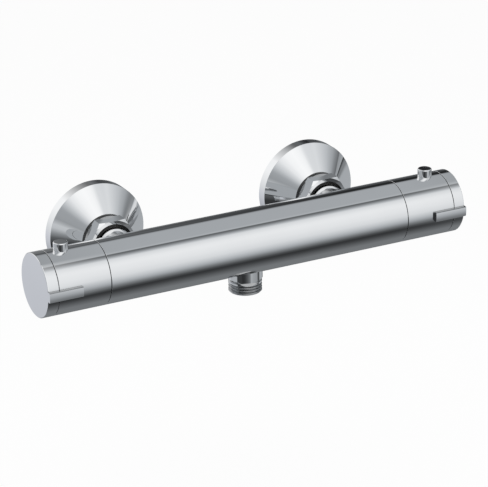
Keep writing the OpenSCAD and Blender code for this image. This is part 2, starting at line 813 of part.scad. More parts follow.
// Outlet under the body
module outlet_nipple() {
  pocket_z = collar_pocket - bar_r;
  collar_r = collar_d / 2;
  thread_r = outlet_thread_d / 2;
  root_r = outlet_root_d / 2;
  flat = outlet_af / 2;
  flat_z = -thread_start - flat_run;
  color("silver") on_bar() translate([-outlet_shift, 0, 0]) difference() {
    rotate_extrude() polygon([
      [outlet_bore_d / 2, -outlet_boss_top - still_fit], [root_r, -outlet_boss_top - still_fit],
      [root_r, pocket_z - gasket_t], [collar_r, pocket_z - gasket_t],
      [collar_r, collar_cone - thread_start], [thread_r - thread_chamfer, -thread_start],
      [thread_r, -thread_start - thread_chamfer], [thread_r, -outlet_reach + thread_chamfer],
      [thread_r - thread_chamfer, -outlet_reach], [outlet_bore_d / 2, -outlet_reach]
    ]);
    for (turn = [0, 180])
      rotate([0, 0, flat_turn + turn]) rotate([90, 0, 90]) translate([0, 0, -collar_d])
        linear_extrude(height = collar_d * 2)
          polygon([
            [-flat, pocket_z - gasket_t + over], [-flat, flat_z + flat_slope],
            [-flat - 2 * flat_slope, flat_z - flat_slope], [-collar_d, flat_z - flat_slope],
            [-collar_d, pocket_z - gasket_t + over]
          ]);
  }
}

module outlet_gasket() {
  pocket_z = collar_pocket - bar_r;
  color("dimgray") on_bar() translate([-outlet_shift, 0, 0]) difference() {
    rod_z(pocket_z - gasket_t, pocket_z, collar_d / 2);
    rod_z(pocket_z - gasket_t - over, pocket_z + over, outlet_root_d / 2 + still_fit);
  }
}

// Outer part that both bonnets share, from the body's end to the hexagon
module bonnet_head(inner_x) {
  thread_r = mouth_d / 2 - still_fit;
  difference() {
    union() {
      turned_x([
        [0, inner_x], [thread_r, inner_x], [thread_r, body_half], [flange_r, body_half],
        [flange_r, flange_end], [barrel_d / 2, flange_end], [barrel_d / 2, barrel_end], [0, barrel_end]
      ]);
      rod_x(barrel_end - over, bonnet_end, bonnet_af / sqrt(3), 6);
    }
    rod_x(inner_x - over, bonnet_end + over, spindle_d / 2 + run_fit);
    rod_x(groove_x, groove_x + spindle_groove_w, spindle_groove_d / 2);
  }
}

module thermo_bonnet() {
  color("goldenrod") right_end() difference() {
    bonnet_head(mouth_start);
    rod_x(mouth_start - over, collar_x - free_gap, lift_hex_bore / sqrt(3), 6);
    rod_x(collar_x - 2 * free_gap, collar_x + spindle_collar_t + free_gap, spindle_collar_d / 2 + run_fit);
  }
}

module flow_headwork() {
  color("goldenrod") left_end() difference() {
    union() {
      bonnet_head(flow_mouth);
      difference() {
        rod_x(flow_floor_x + nose_gap, flow_mouth + over, headwork_d / 2);
        rod_x(flow_floor_x, flow_mouth + 2 * over, spindle_d / 2 + run_fit);
      }
    }
    rod_x(flow_floor_x, driver_end + free_gap, disc_bore_d / 2);
    translate([turning_disc_start, -headwork_d, -side_window_w / 2])
      cube([side_window, 2 * headwork_d, side_window_w]);
  }
}

// Stop finger beside the tongue at a given turn, on its high side or its low side
module stop_finger(turn, side, r_in) {
  edge = tongue_w / 2 + free_gap;
  far = asin(edge / r_in) + finger_angle;
  reach = 2 * stop_ring_r;
  intersection() {
    difference() {
      rod_x(ring_end - over, finger_end, stop_ring_r);
      rod_x(ring_end - 2 * over, finger_end + over, r_in);
    }
    translate([ring_end - over, 0, 0]) rotate([turn, 0, 0]) rotate([90, 0, 90])
      linear_extrude(height = finger_len + over) polygon([
        [edge / tan(far), side * edge], [reach, side * edge],
        [reach * cos(far), side * reach * sin(far)]
      ]);
  }
}

// Ring with fingers that the tongue meets; turns count from the wall side towards the top.
// The low fingers let the tongue pass when the button is pressed.
module stop_ring(low_stops, full_stops) {
  full_r = barrel_d / 2 + still_fit;
  difference() {
    rod_x(flange_end, ring_end, stop_ring_r);
    rod_x(flange_end - over, ring_end + over, full_r);
  }
  for (stop = low_stops) stop_finger(stop[0], stop[1], finger_in_r);
  for (stop = full_stops) stop_finger(stop[0], stop[1], full_r);
}

module temp_stop_ring() {
  color("ivory") right_end()
    stop_ring([[tongue_rest, 1]], [[tongue_rest + hot_turn, 1], [tongue_rest - cold_turn, -1]]);
}

module flow_stop_ring() {
  color("ivory") left_end()
    stop_ring([[tongue_rest - eco_turn, -1]], [[tongue_rest, 1], [tongue_rest - open_turn, -1]]);
}

// Outer end that both spindles share
module spindle_shaft(start) {
  spline_start = spindle_end - spline_len;
  difference() {
    union() {
      rod_x(start, spline_start, spindle_d / 2);
      translate([spline_start - over, 0, 0]) rotate([90, 0, 90])
        linear_extrude(height = spline_len + over) spline_section(0);
    }
    rod_x(carrier_end - screw_len - over, spindle_end + over, screw_d / 2);
  }
}

module spline_section(grow) {
  tip_r = spindle_d / 2 - spline_drop + grow;
  root_r = tip_r - spline_h;
  polygon([
    for (step = [0 : spline_teeth * 2 - 1])
      let (angle = step * 180 / spline_teeth, r = step % 2 == 0 ? tip_r : root_r)
        [r * cos(angle), r * sin(angle)]
  ]);
}

module temp_spindle() {
  color("darkkhaki") right_end() {
    spindle_shaft(screw_start);
    rod_x(collar_x, collar_x + spindle_collar_t, spindle_collar_d / 2);
  }
}

module flow_spindle() {
  color("darkkhaki") left_end() {
    spindle_shaft(driver_start);
    rod_x(driver_start, driver_end, disc_bore_d / 2 - 2 * run_fit);
    translate([driver_start - key_h, -key_len / 2, -key_w / 2]) cube([key_h + over, key_len, key_w]);
  }
}

// Thermostat inside the right end
module seal_groove(x, r_out) {
  difference() {
    rod_x(x - groove_w / 2, x + groove_w / 2, r_out + over);
    rod_x(x - groove_w, x + groove_w, r_out - seal_section);
  }
}

module thermo_cage() {
  nose_r = nose_d / 2 - still_fit;
  mid_r = hot_bore_d / 2 - still_fit;
  top_r = cold_bore_d / 2 - still_fit;
  color("wheat") right_end() difference() {
    turned_x([
      [cage_nose_bore_d / 2, nose_start + free_gap], [nose_r, nose_start + free_gap],
      [nose_r, hot_start + free_gap], [cage_body_d / 2, hot_start + free_gap],
      [cage_body_d / 2, mid_start + free_gap],
      [mid_r, mid_start + free_gap], [mid_r, cold_start - free_gap], [cage_body_d / 2, cold_start - free_gap],
      [cage_body_d / 2, cold_end], [top_r, cold_end], [top_r, mouth_start], [shuttle_bore_d / 2, mouth_start],
      [shuttle_bore_d / 2, cage_nose_end], [cage_nose_bore_d / 2, cage_nose_end]
    ]);
    seal_groove(nose_seal_x, nose_d / 2);
    seal_groove(mid_seal_x, hot_bore_d / 2);
    seal_groove(top_seal_x, cold_bore_d / 2);
    for (turn = [0, 90]) rotate([turn, 0, 0]) {
      translate([hot_window_start, -cage_body_d, -window_w / 2])
        cube([hot_window, cage_body_d * 2, window_w]);
      translate([cold_window_start, -cage_body_d, -window_w / 2])
        cube([cold_window, cage_body_d * 2, window_w]);
    }
  }
}

module thermo_seals() {
  color("dimgray") right_end() {
    seal_x(nose_seal_x, nose_d / 2 - seal_section, nose_d / 2);
    seal_x(mid_seal_x, hot_bore_d / 2 - seal_section, hot_bore_d / 2);
    seal_x(top_seal_x, cold_bore_d / 2 - seal_section, cold_bore_d / 2);
    seal_x(groove_x + spindle_groove_w / 2, spindle_d / 2 + run_fit, spindle_groove_d / 2);
  }
}

module flow_seals() {
  color("dimgray") left_end()
    seal_x(groove_x + spindle_groove_w / 2, spindle_d / 2 + run_fit, spindle_groove_d / 2);
}

module shuttle() {
  outer_r = shuttle_bore_d / 2 - run_fit;
  inner_r = outer_r - shuttle_wall;
  hole_ring = (wax_d / 2 + inner_r) / 2;
  color("orange") right_end() difference() {
    rod_x(shuttle_start, shuttle_end, outer_r);
    rod_x(shuttle_start - over, web_start, inner_r);
    rod_x(web_end, shuttle_end + over, inner_r);
    rod_x(web_start - over, web_end + over, wax_d / 2);
    for (turn = [0 : 45 : 315])
      rotate([turn, 0, 0]) translate([0, hole_ring, 0])
        rod_x(web_start - over, web_end + over, web_hole_d / 2, 24);
  }
}

module wax_element() {
  nose_r = wax_d / 2;
  color("peru") right_end() turned_x([
    [0, web_start - wax_nose], [nose_r - wax_slope, web_start - wax_nose],
    [nose_r, web_start - wax_nose + wax_slope], [nose_r, web_end], [wax_flange_d / 2, web_end],
    [wax_flange_d / 2, neck_start], [wax_neck_d / 2, neck_start], [wax_neck_d / 2, neck_end],
    [piston_d / 2, neck_end], [piston_d / 2, plunger_start], [0, plunger_start]
  ]);
}

module plunger() {
  color("tan") right_end() rod_x(plunger_start, plunger_end, plunger_d / 2);
}

module overload_spring() {
  color("slategray") right_end() difference() {
    rod_x(plunger_end, lift_bore_end, overload_spring_d / 2);
    rod_x(plunger_end - over, lift_bore_end + over, overload_spring_d / 2 - overload_wire);
  }
}

module lift_nut() {
  color("burlywood") right_end() difference() {
    union() {
      rod_x(lift_start, lift_end, lift_d / 2);
      rod_x(lift_bore_end, lift_end, lift_d / sqrt(3), 6);
    }
    rod_x(lift_start - over, lift_lip_end + over, lift_mouth_d / 2);
    rod_x(lift_lip_end, lift_bore_end, lift_bore_d / 2);
    rod_x(lift_floor_end, lift_end + over, spindle_d / 2 + run_fit);
  }
}

module return_spring() {
  outer_r = shuttle_bore_d / 2 - run_fit - shuttle_wall - free_gap / 2;
  color("slategray") right_end() difference() {
    rod_x(cage_nose_end, web_start, outer_r);
    rod_x(cage_nose_end - over, web_start + over, outer_r - return_wire);
  }
}

// Flow control inside the left end
module nose_seal() {
  color("dimgray") left_end() difference() {
    rod_x(flow_floor_x, fixed_disc_start, disc_bore_d / 2 - still_fit);
    rod_x(flow_floor_x - over, fixed_disc_start + over, nose_seal_bore_d / 2);
  }
}

// Two quarter ports on opposite sides of a disc
module disc_ports(x, angle) {
  for (turn = [0, 180]) wedge_x(x - over, x + disc_t + over, angle + turn, 45, port_web);
}

module fixed_disc() {
  color("white") left_end() difference() {
    rod_x(fixed_disc_start, fixed_disc_start + disc_t, disc_bore_d / 2 - still_fit);
    intersection() {
      rod_x(fixed_disc_start - over, fixed_disc_start + disc_t + over, port_d / 2);
      disc_ports(fixed_disc_start, 0);
    }
  }
}

module turning_disc() {
  color("white") left_end() difference() {
    rod_x(turning_disc_start, driver_start, disc_bore_d / 2 - 2 * run_fit);
    disc_ports(turning_disc_start, 90);
    translate([driver_start - key_h - still_fit, -disc_bore_d, -key_w / 2 - still_fit])
      cube([key_h + over, 2 * disc_bore_d, key_w + 2 * still_fit]);
  }
}

// Pieces of one handle, drawn for the right end
module rib_blank(length, grow) {
  foot = bar_r - rib_slot;
  front = bar_r + rib_h + grow;
  high = rib_w / 2 + grow - rib_drop;
  low = -rib_w / 2 - grow - rib_drop;
  high_front = sqrt(front * front - high * high);
  low_front = sqrt(front * front - low * low);
  // Round the front face like the handle and slope its two long edges
  intersection() {
    rod_x(0, length, front);
    rotate([90, 0, 90]) linear_extrude(height = length) polygon([
      [-foot, low], [-foot, high], [rib_edge - high_front, high],
      [-high_front - over, high - rib_edge - over], [-low_front - over, low + rib_edge + over],
      [rib_edge - low_front, low]
    ]);
  }
}

module rib_slot_cut() {
  translate([handle_end - rib_len - still_fit, 0, 0]) rib_blank(rib_len + over, still_fit);
}

module handle_sleeve() {
  color("silver") difference() {
    turned_x([
      [sleeve_in_r, sleeve_start], [bar_r - seam_edge, sleeve_start], [bar_r, sleeve_start + seam_edge],
      [bar_r, sleeve_end - seam_edge], [bar_r - seam_edge, sleeve_end], [sleeve_in_r, sleeve_end]
    ]);
    translate([button_x, 0, 0]) rod_z(0, bar_r + over, button_d / 2 + run_fit);
    rib_slot_cut();
  }
}

module handle_cap() {
  spigot_r = sleeve_in_r - still_fit;
  color("silver") difference() {
    turned_x([
      [0, handle_end - cap_face], [spigot_r - spigot_wall, handle_end - cap_face],
      [spigot_r - spigot_wall, spigot_start], [spigot_r, spigot_start], [spigot_r, cap_start],
      [bar_r - seam_edge, cap_start], [bar_r, cap_start + seam_edge], [bar_r, handle_end - cap_edge],
      [bar_r - cap_edge, handle_end], [0, handle_end]
    ]);
    rib_slot_cut();
  }
}

module handle_rib() {
  color("silver") translate([handle_end - rib_len, 0, 0]) rib_blank(rib_len, 0);
}

module gusset() {
  reach = sleeve_in_r - gusset_gap;
  translate([0, gusset_t / 2, 0]) rotate([90, 0, 0]) linear_extrude(height = gusset_t)
    polygon([
      [carrier_start - gusset_len, hub_d / 2 - over], [carrier_start + over, hub_d / 2 - over],
      [carrier_start + over, reach], [carrier_start - over, reach], [carrier_start - gusset_len, hub_d / 2]
    ]);
}

module handle_carrier() {
  bore_end = spindle_end + still_fit;
  color("ivory") difference() {
    union() {
      rod_x(carrier_start, carrier_end, sleeve_in_r - still_fit);
      rod_x(hub_start, carrier_start + over, hub_d / 2);
      for (turn = [60 : 60 : 300]) rotate([turn, 0, 0]) gusset();
    }
    translate([hub_start - over, 0, 0]) rotate([90, 0, 90])
      linear_extrude(height = bore_end - hub_start + over) spline_section(still_fit);
    rod_x(hub_start - over, spindle_end - spline_len, spindle_d / 2 + 2 * still_fit);
    rod_x(bore_end - over, carrier_end + over, screw_d / 2 + still_fit);
    translate([button_x, 0, 0]) rod_z(spring_seat, hub_d, button_spring_d / 2 + free_gap);
  }
}

module handle_screw() {
  color("gray") difference() {
    union() {
      rod_x(carrier_end - screw_len, carrier_end + over, screw_d / 2 - thread_fit);
      rod_x(carrier_end, carrier_end + screw_head_h, screw_head_d / 2);
    }
    rod_x(carrier_end + screw_head_h / 3, carrier_end + screw_head_h + over, screw_socket_af / sqrt(3), 6);
  }
}

module stop_button() {
  pin_r = button_d / 2;
  color("silver") translate([button_x, 0, 0]) difference() {
    union() {
      rotate_extrude() polygon([
        [0, flange_foot], [button_flange_d / 2, flange_foot], [button_flange_d / 2, flange_top],
        [pin_r, flange_top],
        for (turn = [0 : 15 : 90])
          [
            pin_r - button_edge + button_edge * cos(turn),
            button_top - button_edge + button_edge * sin(turn)
          ],
        [0, button_top]
      ]);
      translate([-button_flange_d / 2 - tongue_len, -tongue_w / 2, flange_foot])
        cube([tongue_len + button_flange_d / 2, tongue_w, tongue_t]);
    }
    rod_z(flange_foot - over, flange_foot + button_bore, button_spring_d / 2 + free_gap / 2);
  }
}

module button_spring() {
  top = flange_foot + button_bore - free_gap;
  color("slategray") translate([button_x, 0, 0]) difference() {
    rod_z(spring_seat, top, button_spring_d / 2);
    rod_z(spring_seat - over, top + over, button_spring_d / 2 - button_wire);
  }
}

module wall_union_hot() { color("darkgray") hot_inlet() wall_union(); }
module wall_union_cold() { color("darkgray") cold_inlet() wall_union(); }
module wall_plate_hot() { color("gainsboro") hot_inlet() wall_plate(); }
module wall_plate_cold() { color("gainsboro") cold_inlet() wall_plate(); }
module union_nut_hot() { color("silver") hot_inlet() union_nut(); }
module union_nut_cold() { color("silver") cold_inlet() union_nut(); }
module nut_ring_hot() { color("gray") hot_inlet() nut_ring(); }
module nut_ring_cold() { color("gray") cold_inlet() nut_ring(); }
module strainer_hot() { color("tomato") hot_inlet() strainer(); }
module strainer_cold() { color("skyblue") cold_inlet() strainer(); }
module check_cage_hot() { color("ivory") hot_inlet() check_cage(); }
module check_cage_cold() { color("ivory") cold_inlet() check_cage(); }
module check_poppet_hot() { color("tomato") hot_inlet() check_poppet(); }
module check_poppet_cold() { color("skyblue") cold_inlet() check_poppet(); }
module check_spring_hot() { color("slategray") hot_inlet() check_spring(); }
module check_spring_cold() { color("slategray") cold_inlet() check_spring(); }
module temp_sleeve() { right_end() handle_sleeve(); }
module temp_cap() { right_end() handle_cap(); }
module temp_rib() { right_end() handle_rib(); }
module temp_carrier() { right_end() handle_carrier(); }
module temp_screw() { right_end() handle_screw(); }
module temp_button() { right_end() stop_button(); }
module temp_button_spring() { right_end() button_spring(); }
module flow_sleeve() { left_end() handle_sleeve(); }
module flow_cap() { left_end() handle_cap(); }
module flow_rib() { left_end() handle_rib(); }
module flow_carrier() { left_end() handle_carrier(); }
module flow_screw() { left_end() handle_screw(); }
module flow_button() { left_end() stop_button(); }
module flow_button_spring() { left_end() button_spring(); }

body();
wall_union_hot();
wall_union_cold();
wall_plate_hot();
wall_plate_cold();
union_nut_hot();
union_nut_cold();
nut_ring_hot();
nut_ring_cold();
strainer_hot();
strainer_cold();
check_cage_hot();
check_cage_cold();
check_poppet_hot();
check_poppet_cold();
check_spring_hot();
check_spring_cold();
outlet_nipple();
outlet_gasket();
thermo_bonnet();
thermo_cage();
thermo_seals();
temp_stop_ring();
temp_spindle();
lift_nut();
overload_spring();
plunger();
wax_element();
shuttle();
return_spring();
flow_headwork();
flow_seals();
nose_seal();
fixed_disc();
turning_disc();
flow_stop_ring();
flow_spindle();
temp_sleeve();
temp_cap();
temp_rib();
temp_carrier();
temp_screw();
temp_button();
temp_button_spring();
flow_sleeve();
flow_cap();
flow_rib();
flow_carrier();
flow_screw();
flow_button();
flow_button_spring();
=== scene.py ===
# %% [markdown]
# # Thermostatic shower valve
# The imported model is the frame of this lesson: every solid of the valve is already in place, in metres.

# %% Load the frame
import json
import math

import bmesh
import bpy
import numpy as np
from mathutils import Matrix, Vector


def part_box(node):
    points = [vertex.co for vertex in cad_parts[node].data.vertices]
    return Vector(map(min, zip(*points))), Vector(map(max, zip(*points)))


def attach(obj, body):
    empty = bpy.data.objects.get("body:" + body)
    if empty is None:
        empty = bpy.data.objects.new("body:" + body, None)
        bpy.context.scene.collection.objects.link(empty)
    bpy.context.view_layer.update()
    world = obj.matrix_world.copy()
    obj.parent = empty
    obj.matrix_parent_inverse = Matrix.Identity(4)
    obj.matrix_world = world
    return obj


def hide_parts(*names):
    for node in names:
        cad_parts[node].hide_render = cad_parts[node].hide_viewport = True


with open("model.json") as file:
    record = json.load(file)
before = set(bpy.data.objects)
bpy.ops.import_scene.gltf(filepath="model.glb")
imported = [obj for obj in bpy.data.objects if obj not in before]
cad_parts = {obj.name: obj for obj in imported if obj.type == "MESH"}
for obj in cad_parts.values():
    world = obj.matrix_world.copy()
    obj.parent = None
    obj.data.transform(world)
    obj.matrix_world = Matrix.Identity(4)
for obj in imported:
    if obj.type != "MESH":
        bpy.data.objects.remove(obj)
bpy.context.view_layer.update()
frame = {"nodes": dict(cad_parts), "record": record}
mounts = {m["name"]: m for m in frame["record"]["mounts"]}

# %% [markdown]
# The two wall threads carry the valve. The bar lies halfway between them, above and in front of them,
# and everything that turns or was turned on a lathe belongs to one of a few middle lines.

# %% Middle lines of the valve
MM = 0.001
BAR_PLACE_MM = (0, -67.5, 12)
hot_wall = Vector(mounts["hot_supply"]["pos_m"])
cold_wall = Vector(mounts["cold_supply"]["pos_m"])
hose = Vector(mounts["hose_outlet"]["pos_m"])
middle = (hot_wall + cold_wall) / 2 + Vector(BAR_PLACE_MM) * MM
X, Y, Z = Vector((1, 0, 0)), Vector((0, 1, 0)), Vector((0, 0, 1))
bar_line = (middle, X)
hot_line = (Vector((hot_wall.x, middle.y, middle.z)), Y)
cold_line = (Vector((cold_wall.x, middle.y, middle.z)), Y)
hose_line = (hose, Z)
# Each supply with its side of the valve, the line of its nut and the line of its thread in the wall
SUPPLIES = (("hot", "left", hot_line, (hot_wall, Y)), ("cold", "right", cold_line, (cold_wall, Y)))
print("middle of the bar, mm:", [round(v * 1000, 2) for v in middle])

# %% [markdown]
# The camera stands to the left, above and in front, at the angle of the photograph. A long lens keeps the
# bar's two ends nearly the same size. The picture is 488 x 487 pixels.

# %% Camera
CAMERA_BACK = Vector((-0.42712, -0.82506, 0.36991))
CAMERA_DISTANCE = 1.68264
CAMERA_ROLL = math.radians(-0.9)
CAMERA_AIM = middle + Vector((-3.37, 0, -0.97)) * MM
LENS, SENSOR = 201.39, 36.0
CLIP_NEAR, CLIP_FAR = 0.05, 60


def add_object(name, data):
    made = bpy.data.objects.new(name, data)
    bpy.context.scene.collection.objects.link(made)
    return made


def add_camera():
    across = Vector((-CAMERA_BACK.y, CAMERA_BACK.x, 0)).normalized()
    upward = CAMERA_BACK.cross(across)
    c, s = math.cos(CAMERA_ROLL), math.sin(CAMERA_ROLL)
    turned = [c * across + s * upward, -s * across + c * upward, CAMERA_BACK]
    data = bpy.data.cameras.new("camera")
    data.lens, data.sensor_width, data.sensor_fit = LENS, SENSOR, "HORIZONTAL"
    data.clip_start, data.clip_end = CLIP_NEAR, CLIP_FAR
    camera = add_object("camera", data)
    camera.matrix_world = Matrix.Translation(CAMERA_AIM + CAMERA_BACK * CAMERA_DISTANCE) @ Matrix(
        [[turned[k][row] for k in range(3)] for row in range(3)]
    ).to_4x4()
    bpy.context.scene.camera = camera
    return camera


camera = add_camera()
print("camera at, mm:", [round(v * 1000, 1) for v in camera.matrix_world.translation])

# %% [markdown]
# Materials and Geometry Nodes are trees of nodes. They could be drawn by hand in the editor. Here they are
# written as text, so that each one can be read and made again, and a small class keeps that text short.


# %% Small node helpers
def grey(level, tint=(1.0, 1.0, 1.0)):
    """A picture level from 0 to 255 as linear light."""
    v = level / 255
    linear = v / 12.92 if v <= 0.04045 else ((v + 0.055) / 1.055) ** 2.4
    return tuple(linear * t for t in tint) + (1.0,)


class Tree:
    """Adds nodes to a node tree and joins them in one line each."""

    def __init__(self, tree):
        self.tree = tree

    def node(self, kind, inputs=None, **settings):
        made = self.tree.nodes.new(kind)
        for key, value in settings.items():
            setattr(made, key, value)
        for key, value in (inputs or {}).items():
            self.feed(made.inputs[key], value)
        return made

    def feed(self, socket, value):
        if isinstance(value, bpy.types.NodeSocket):
            self.tree.links.new(value, socket)
        else:
            socket.default_value = value

    def math(self, operation, *values, clamp=False):
        made = self.node("ShaderNodeMath", operation=operation, use_clamp=clamp)
        for socket, value in zip(made.inputs, values):
            self.feed(socket, value)
        return made.outputs[0]

    def step(self, value, low, high):
        """0 below low, 1 above high, smooth between them."""
        made = self.node(
            "ShaderNodeMapRange",
            {"Value": value, "From Min": low, "From Max": high},
            interpolation_type="SMOOTHSTEP",
        )
        return made.outputs[0]

    def mix(self, factor, a, b):
        made = self.node("ShaderNodeMix", {"Factor": factor}, data_type="RGBA")
        for key, value in ((6, a), (7, b)):
            self.feed(made.inputs[key], value)
        return made.outputs[2]


def fresh_material(name):
    made = bpy.data.materials.new(name)
    made.use_nodes = True
    made.node_tree.nodes.clear()
    return made, Tree(made.node_tree)


def keep_mesh(name, bm):
    mesh = bpy.data.meshes.new(name)
    bm.to_mesh(mesh)
    bm.free()
    return mesh


print("picture level 128 is", round(grey(128)[0], 3), "as linear light")

# %% [markdown]
# The valve floats over a pale floor in front of a white backdrop, as in the photograph. The world could
# be a picture of a room, but an even white is plain and lights every side alike. The floor is white for
# the camera, and for the rays that metal and glass send out, and keeps a soft shadow.

# %% World and floor
LIGHT_LEVEL = 0.85
FLOOR_DROP = 0.3
FLOOR_HALF = 12.0
FLOOR_WHITE = 0.8
PAPER_TONES = ((0.93, 0.93, 0.93, 1), (0.96, 0.96, 0.96, 1))


def seen_directly(t):
    """1 for rays from the camera, from metal and through glass, 0 for rays that only carry light."""
    path = t.node("ShaderNodeLightPath").outputs
    seen = t.math("MAXIMUM", path["Is Camera Ray"], path["Is Glossy Ray"])
    return t.math("MAXIMUM", seen, path["Is Transmission Ray"])


def add_world():
    world = bpy.data.worlds.new("studio")
    world.use_nodes = True
    world.node_tree.nodes.clear()
    t = Tree(world.node_tree)
    light = t.node("ShaderNodeBackground", {"Color": (1, 1, 1, 1), "Strength": LIGHT_LEVEL})
    white = t.node("ShaderNodeBackground", {"Color": (1, 1, 1, 1), "Strength": 1.0})
    both = t.node("ShaderNodeMixShader", {0: seen_directly(t), 1: light.outputs[0], 2: white.outputs[0]})
    t.node("ShaderNodeOutputWorld", {"Surface": both.outputs[0]})
    bpy.context.scene.world = world


def add_floor():
    made, t = fresh_material("pale_floor")
    fibres = t.node("ShaderNodeTexNoise", {"Scale": 30.0, "Detail": 4.0})
    paper = t.node("ShaderNodeBsdfDiffuse", {"Color": t.mix(fibres.outputs["Fac"], *PAPER_TONES)})
    white = t.node("ShaderNodeEmission", {"Color": (1, 1, 1, 1), "Strength": 1.0})
    share = t.math("MULTIPLY", seen_directly(t), FLOOR_WHITE)
    front = t.node("ShaderNodeMixShader", {0: share, 1: paper.outputs[0], 2: white.outputs[0]})
    clear = t.node("ShaderNodeBsdfTransparent")
    behind = t.node("ShaderNodeNewGeometry").outputs["Backfacing"]
    whole = t.node("ShaderNodeMixShader", {0: behind, 1: front.outputs[0], 2: clear.outputs[0]})
    t.node("ShaderNodeOutputMaterial", {"Surface": whole.outputs[0]})
    made.cycles.emission_sampling = "NONE"
    bm = bmesh.new()
    bmesh.ops.create_grid(bm, x_segments=1, y_segments=1, size=FLOOR_HALF)
    bmesh.ops.translate(bm, verts=bm.verts, vec=middle - Z * FLOOR_DROP)
    mesh = keep_mesh("floor", bm)
    mesh.materials.append(made)
    floor = add_object("floor", mesh)
    floor.visible_glossy = False


add_world()
add_floor()
print("floor", FLOOR_DROP, "m below the bar; light level", LIGHT_LEVEL)

# %% [markdown]
# Chrome has no colour of its own: it shows the room. The reflections in the photograph fit a tent of cards: a
# grey card overhead that ends in a sharp front edge, a bright soft box above the lens, a dark floor and a
# white card behind on the left. The cards could be lamps and boards, each in its place. One shell far around
# the valve is simpler to set, because only the direction matters so far away. Its brightness is written as a
# turn about the bar, since each card runs along the bar, and the few cards at the sides are laid over that. 0
# degrees is level and behind the bar, 90 is overhead, 180 is level in front and 270 is below. Only
# reflections see the tent. The levels were typed one by one, and set to follow readings of the photograph's
# brightness, taken by the direction that each place on the chrome mirrors.

# %% Levels of the cards
CHROME_SHARE = 0.87
CARD_LEVELS = [
    (0, 80), (20, 66), (30, 50), (35, 56), (41, 145), (46, 164), (95, 165), (101, 178), (103.5, 90),
    (107, 106), (112, 143), (118.5, 192), (121.5, 214), (128, 222), (136, 230), (144, 232), (165, 226),
    (182, 215), (195, 193), (205, 166), (215, 120), (225, 75), (233, 50), (241, 62), (258, 94),
    (275, 115), (300, 116), (318, 108), (338, 130), (350, 105),
]
# Levels of the front card by how far to the right its light comes from, -1 is left and 1 is right
FRONT_LEVELS = [
    (-0.75, 142), (-0.6, 160), (-0.5, 195), (-0.36, 228), (-0.2, 243), (0.0, 248), (0.16, 244), (0.3, 232),
    (0.43, 226), (0.57, 219), (0.73, 204), (0.85, 187), (0.94, 160), (1.0, 96),
]
# The same for the cards in front below the lens
LOW_LEVELS = [
    (-0.9, 40), (-0.7, 42), (-0.43, 52), (-0.12, 82), (0.2, 118), (0.36, 158), (0.55, 158), (0.79, 146),
    (0.86, 62), (0.95, 96),
]
# Levels of the left wall by height, -1 is below and 1 is above
LEFT_LEVELS = [(-0.4, 52), (-0.25, 92), (-0.14, 138), (0.0, 188), (0.08, 192), (0.22, 150), (0.5, 170)]
# Levels of the back card by height
BACK_LEVELS = [(-0.6, 165), (-0.42, 184), (-0.36, 194), (-0.22, 207), (0.0, 226), (0.25, 240)]
# The dark strip that the bar's upper edge and the buttons' tops show gets darker to the right
TOP_STRIP_LEVELS = [(0.3, 108), (0.37, 90), (0.43, 60), (0.485, 38), (0.6, 30)]
OVERHEAD_LEVEL, RIGHT_REAR_LEVEL, LEFT_REAR_LEVEL = 124, 165, 170
LILAC = (1.0, 0.995, 1.035, 1.0)
print("the tent's ring has", len(CARD_LEVELS), "levels, its front card", len(FRONT_LEVELS))

# %% [markdown]
# The places of the side cards are written in the direction of the light: x is -1 at the left and 1 at the
# right, y is -1 in front and 1 behind, z is -1 below and 1 above. Each reach is given as low, high and the
# width of its soft edge. What the bar shows comes from a narrow strip of the tent at x = 0.43, so the ring
# of levels is kept there and the cards of the cones and buttons lie beside it.

# %% Places of the cards
BAR_SIDE = 0.43
STRIP_EDGES = (0.065, 0.2)
OVERHEAD_Y, OVERHEAD_Z = (-0.15, 1.1, 0.1), (0.6, 1.1, 0.08)
FRONT_Y, FRONT_Z, LOW_Z = (-1.1, -0.12, 0.18), (0.0, 1.1, 0.14), (-0.62, -0.24, 0.16)
LEFT_X = (-1.1, -0.74, 0.12)
RIGHT_REAR_X, RIGHT_REAR_Z = (0.85, 1.1, 0.07), (-0.9, -0.14, 0.1)
LEFT_REAR_X, REAR_Y = (-1.1, -0.68, 0.08), (-0.1, 1.1, 0.1)
TOP_STRIP_Y, TOP_STRIP_Z = (0.5, 1.1, 0.2), (0.31, 0.49, 0.06)
BACK_Y, BACK_FADE, BACK_SLANT = (0.3, 1.1, 0.3), (0.44, -0.2), 0.25
LILAC_BELOW = (-0.3, -0.1)
TENT_RADIUS = 3.0
print("the bar shows the strip within", STRIP_EDGES[0], "of x =", BAR_SIDE)


# %% How a card is laid
def card_tone(level):
    """Light of a card; the darker cards are a little cooler."""
    cool = min(0.05, 0.15 * (1 - level / 255))
    return grey(level, (1 - cool, 1.0, 1 + cool))


def fill_ramp(ramp, stops):
    """Sets a colour ramp's stops from pairs of place and colour."""
    marks = ramp.color_ramp.elements
    while len(marks) > 1:
        marks.remove(marks[-1])
    for k, (place, colour) in enumerate(stops):
        mark = marks[0] if k == 0 else marks.new(place)
        mark.position, mark.color = place, colour


def by_place(t, value, levels):
    """The tone that a list of levels gives at a value from -1 to 1."""
    ramp = t.node("ShaderNodeValToRGB", {"Fac": t.math("MULTIPLY_ADD", value, 0.5, 0.5)})
    fill_ramp(ramp, [(spot / 2 + 0.5, card_tone(level)) for spot, level in levels])
    return ramp.outputs["Color"]


def window(t, value, low, high, soft):
    """1 inside low to high, with soft edges outside."""
    rise = t.step(value, low - soft, low)
    fall = t.math("SUBTRACT", 1.0, t.step(value, high, high + soft))
    return t.math("MULTIPLY", rise, fall)


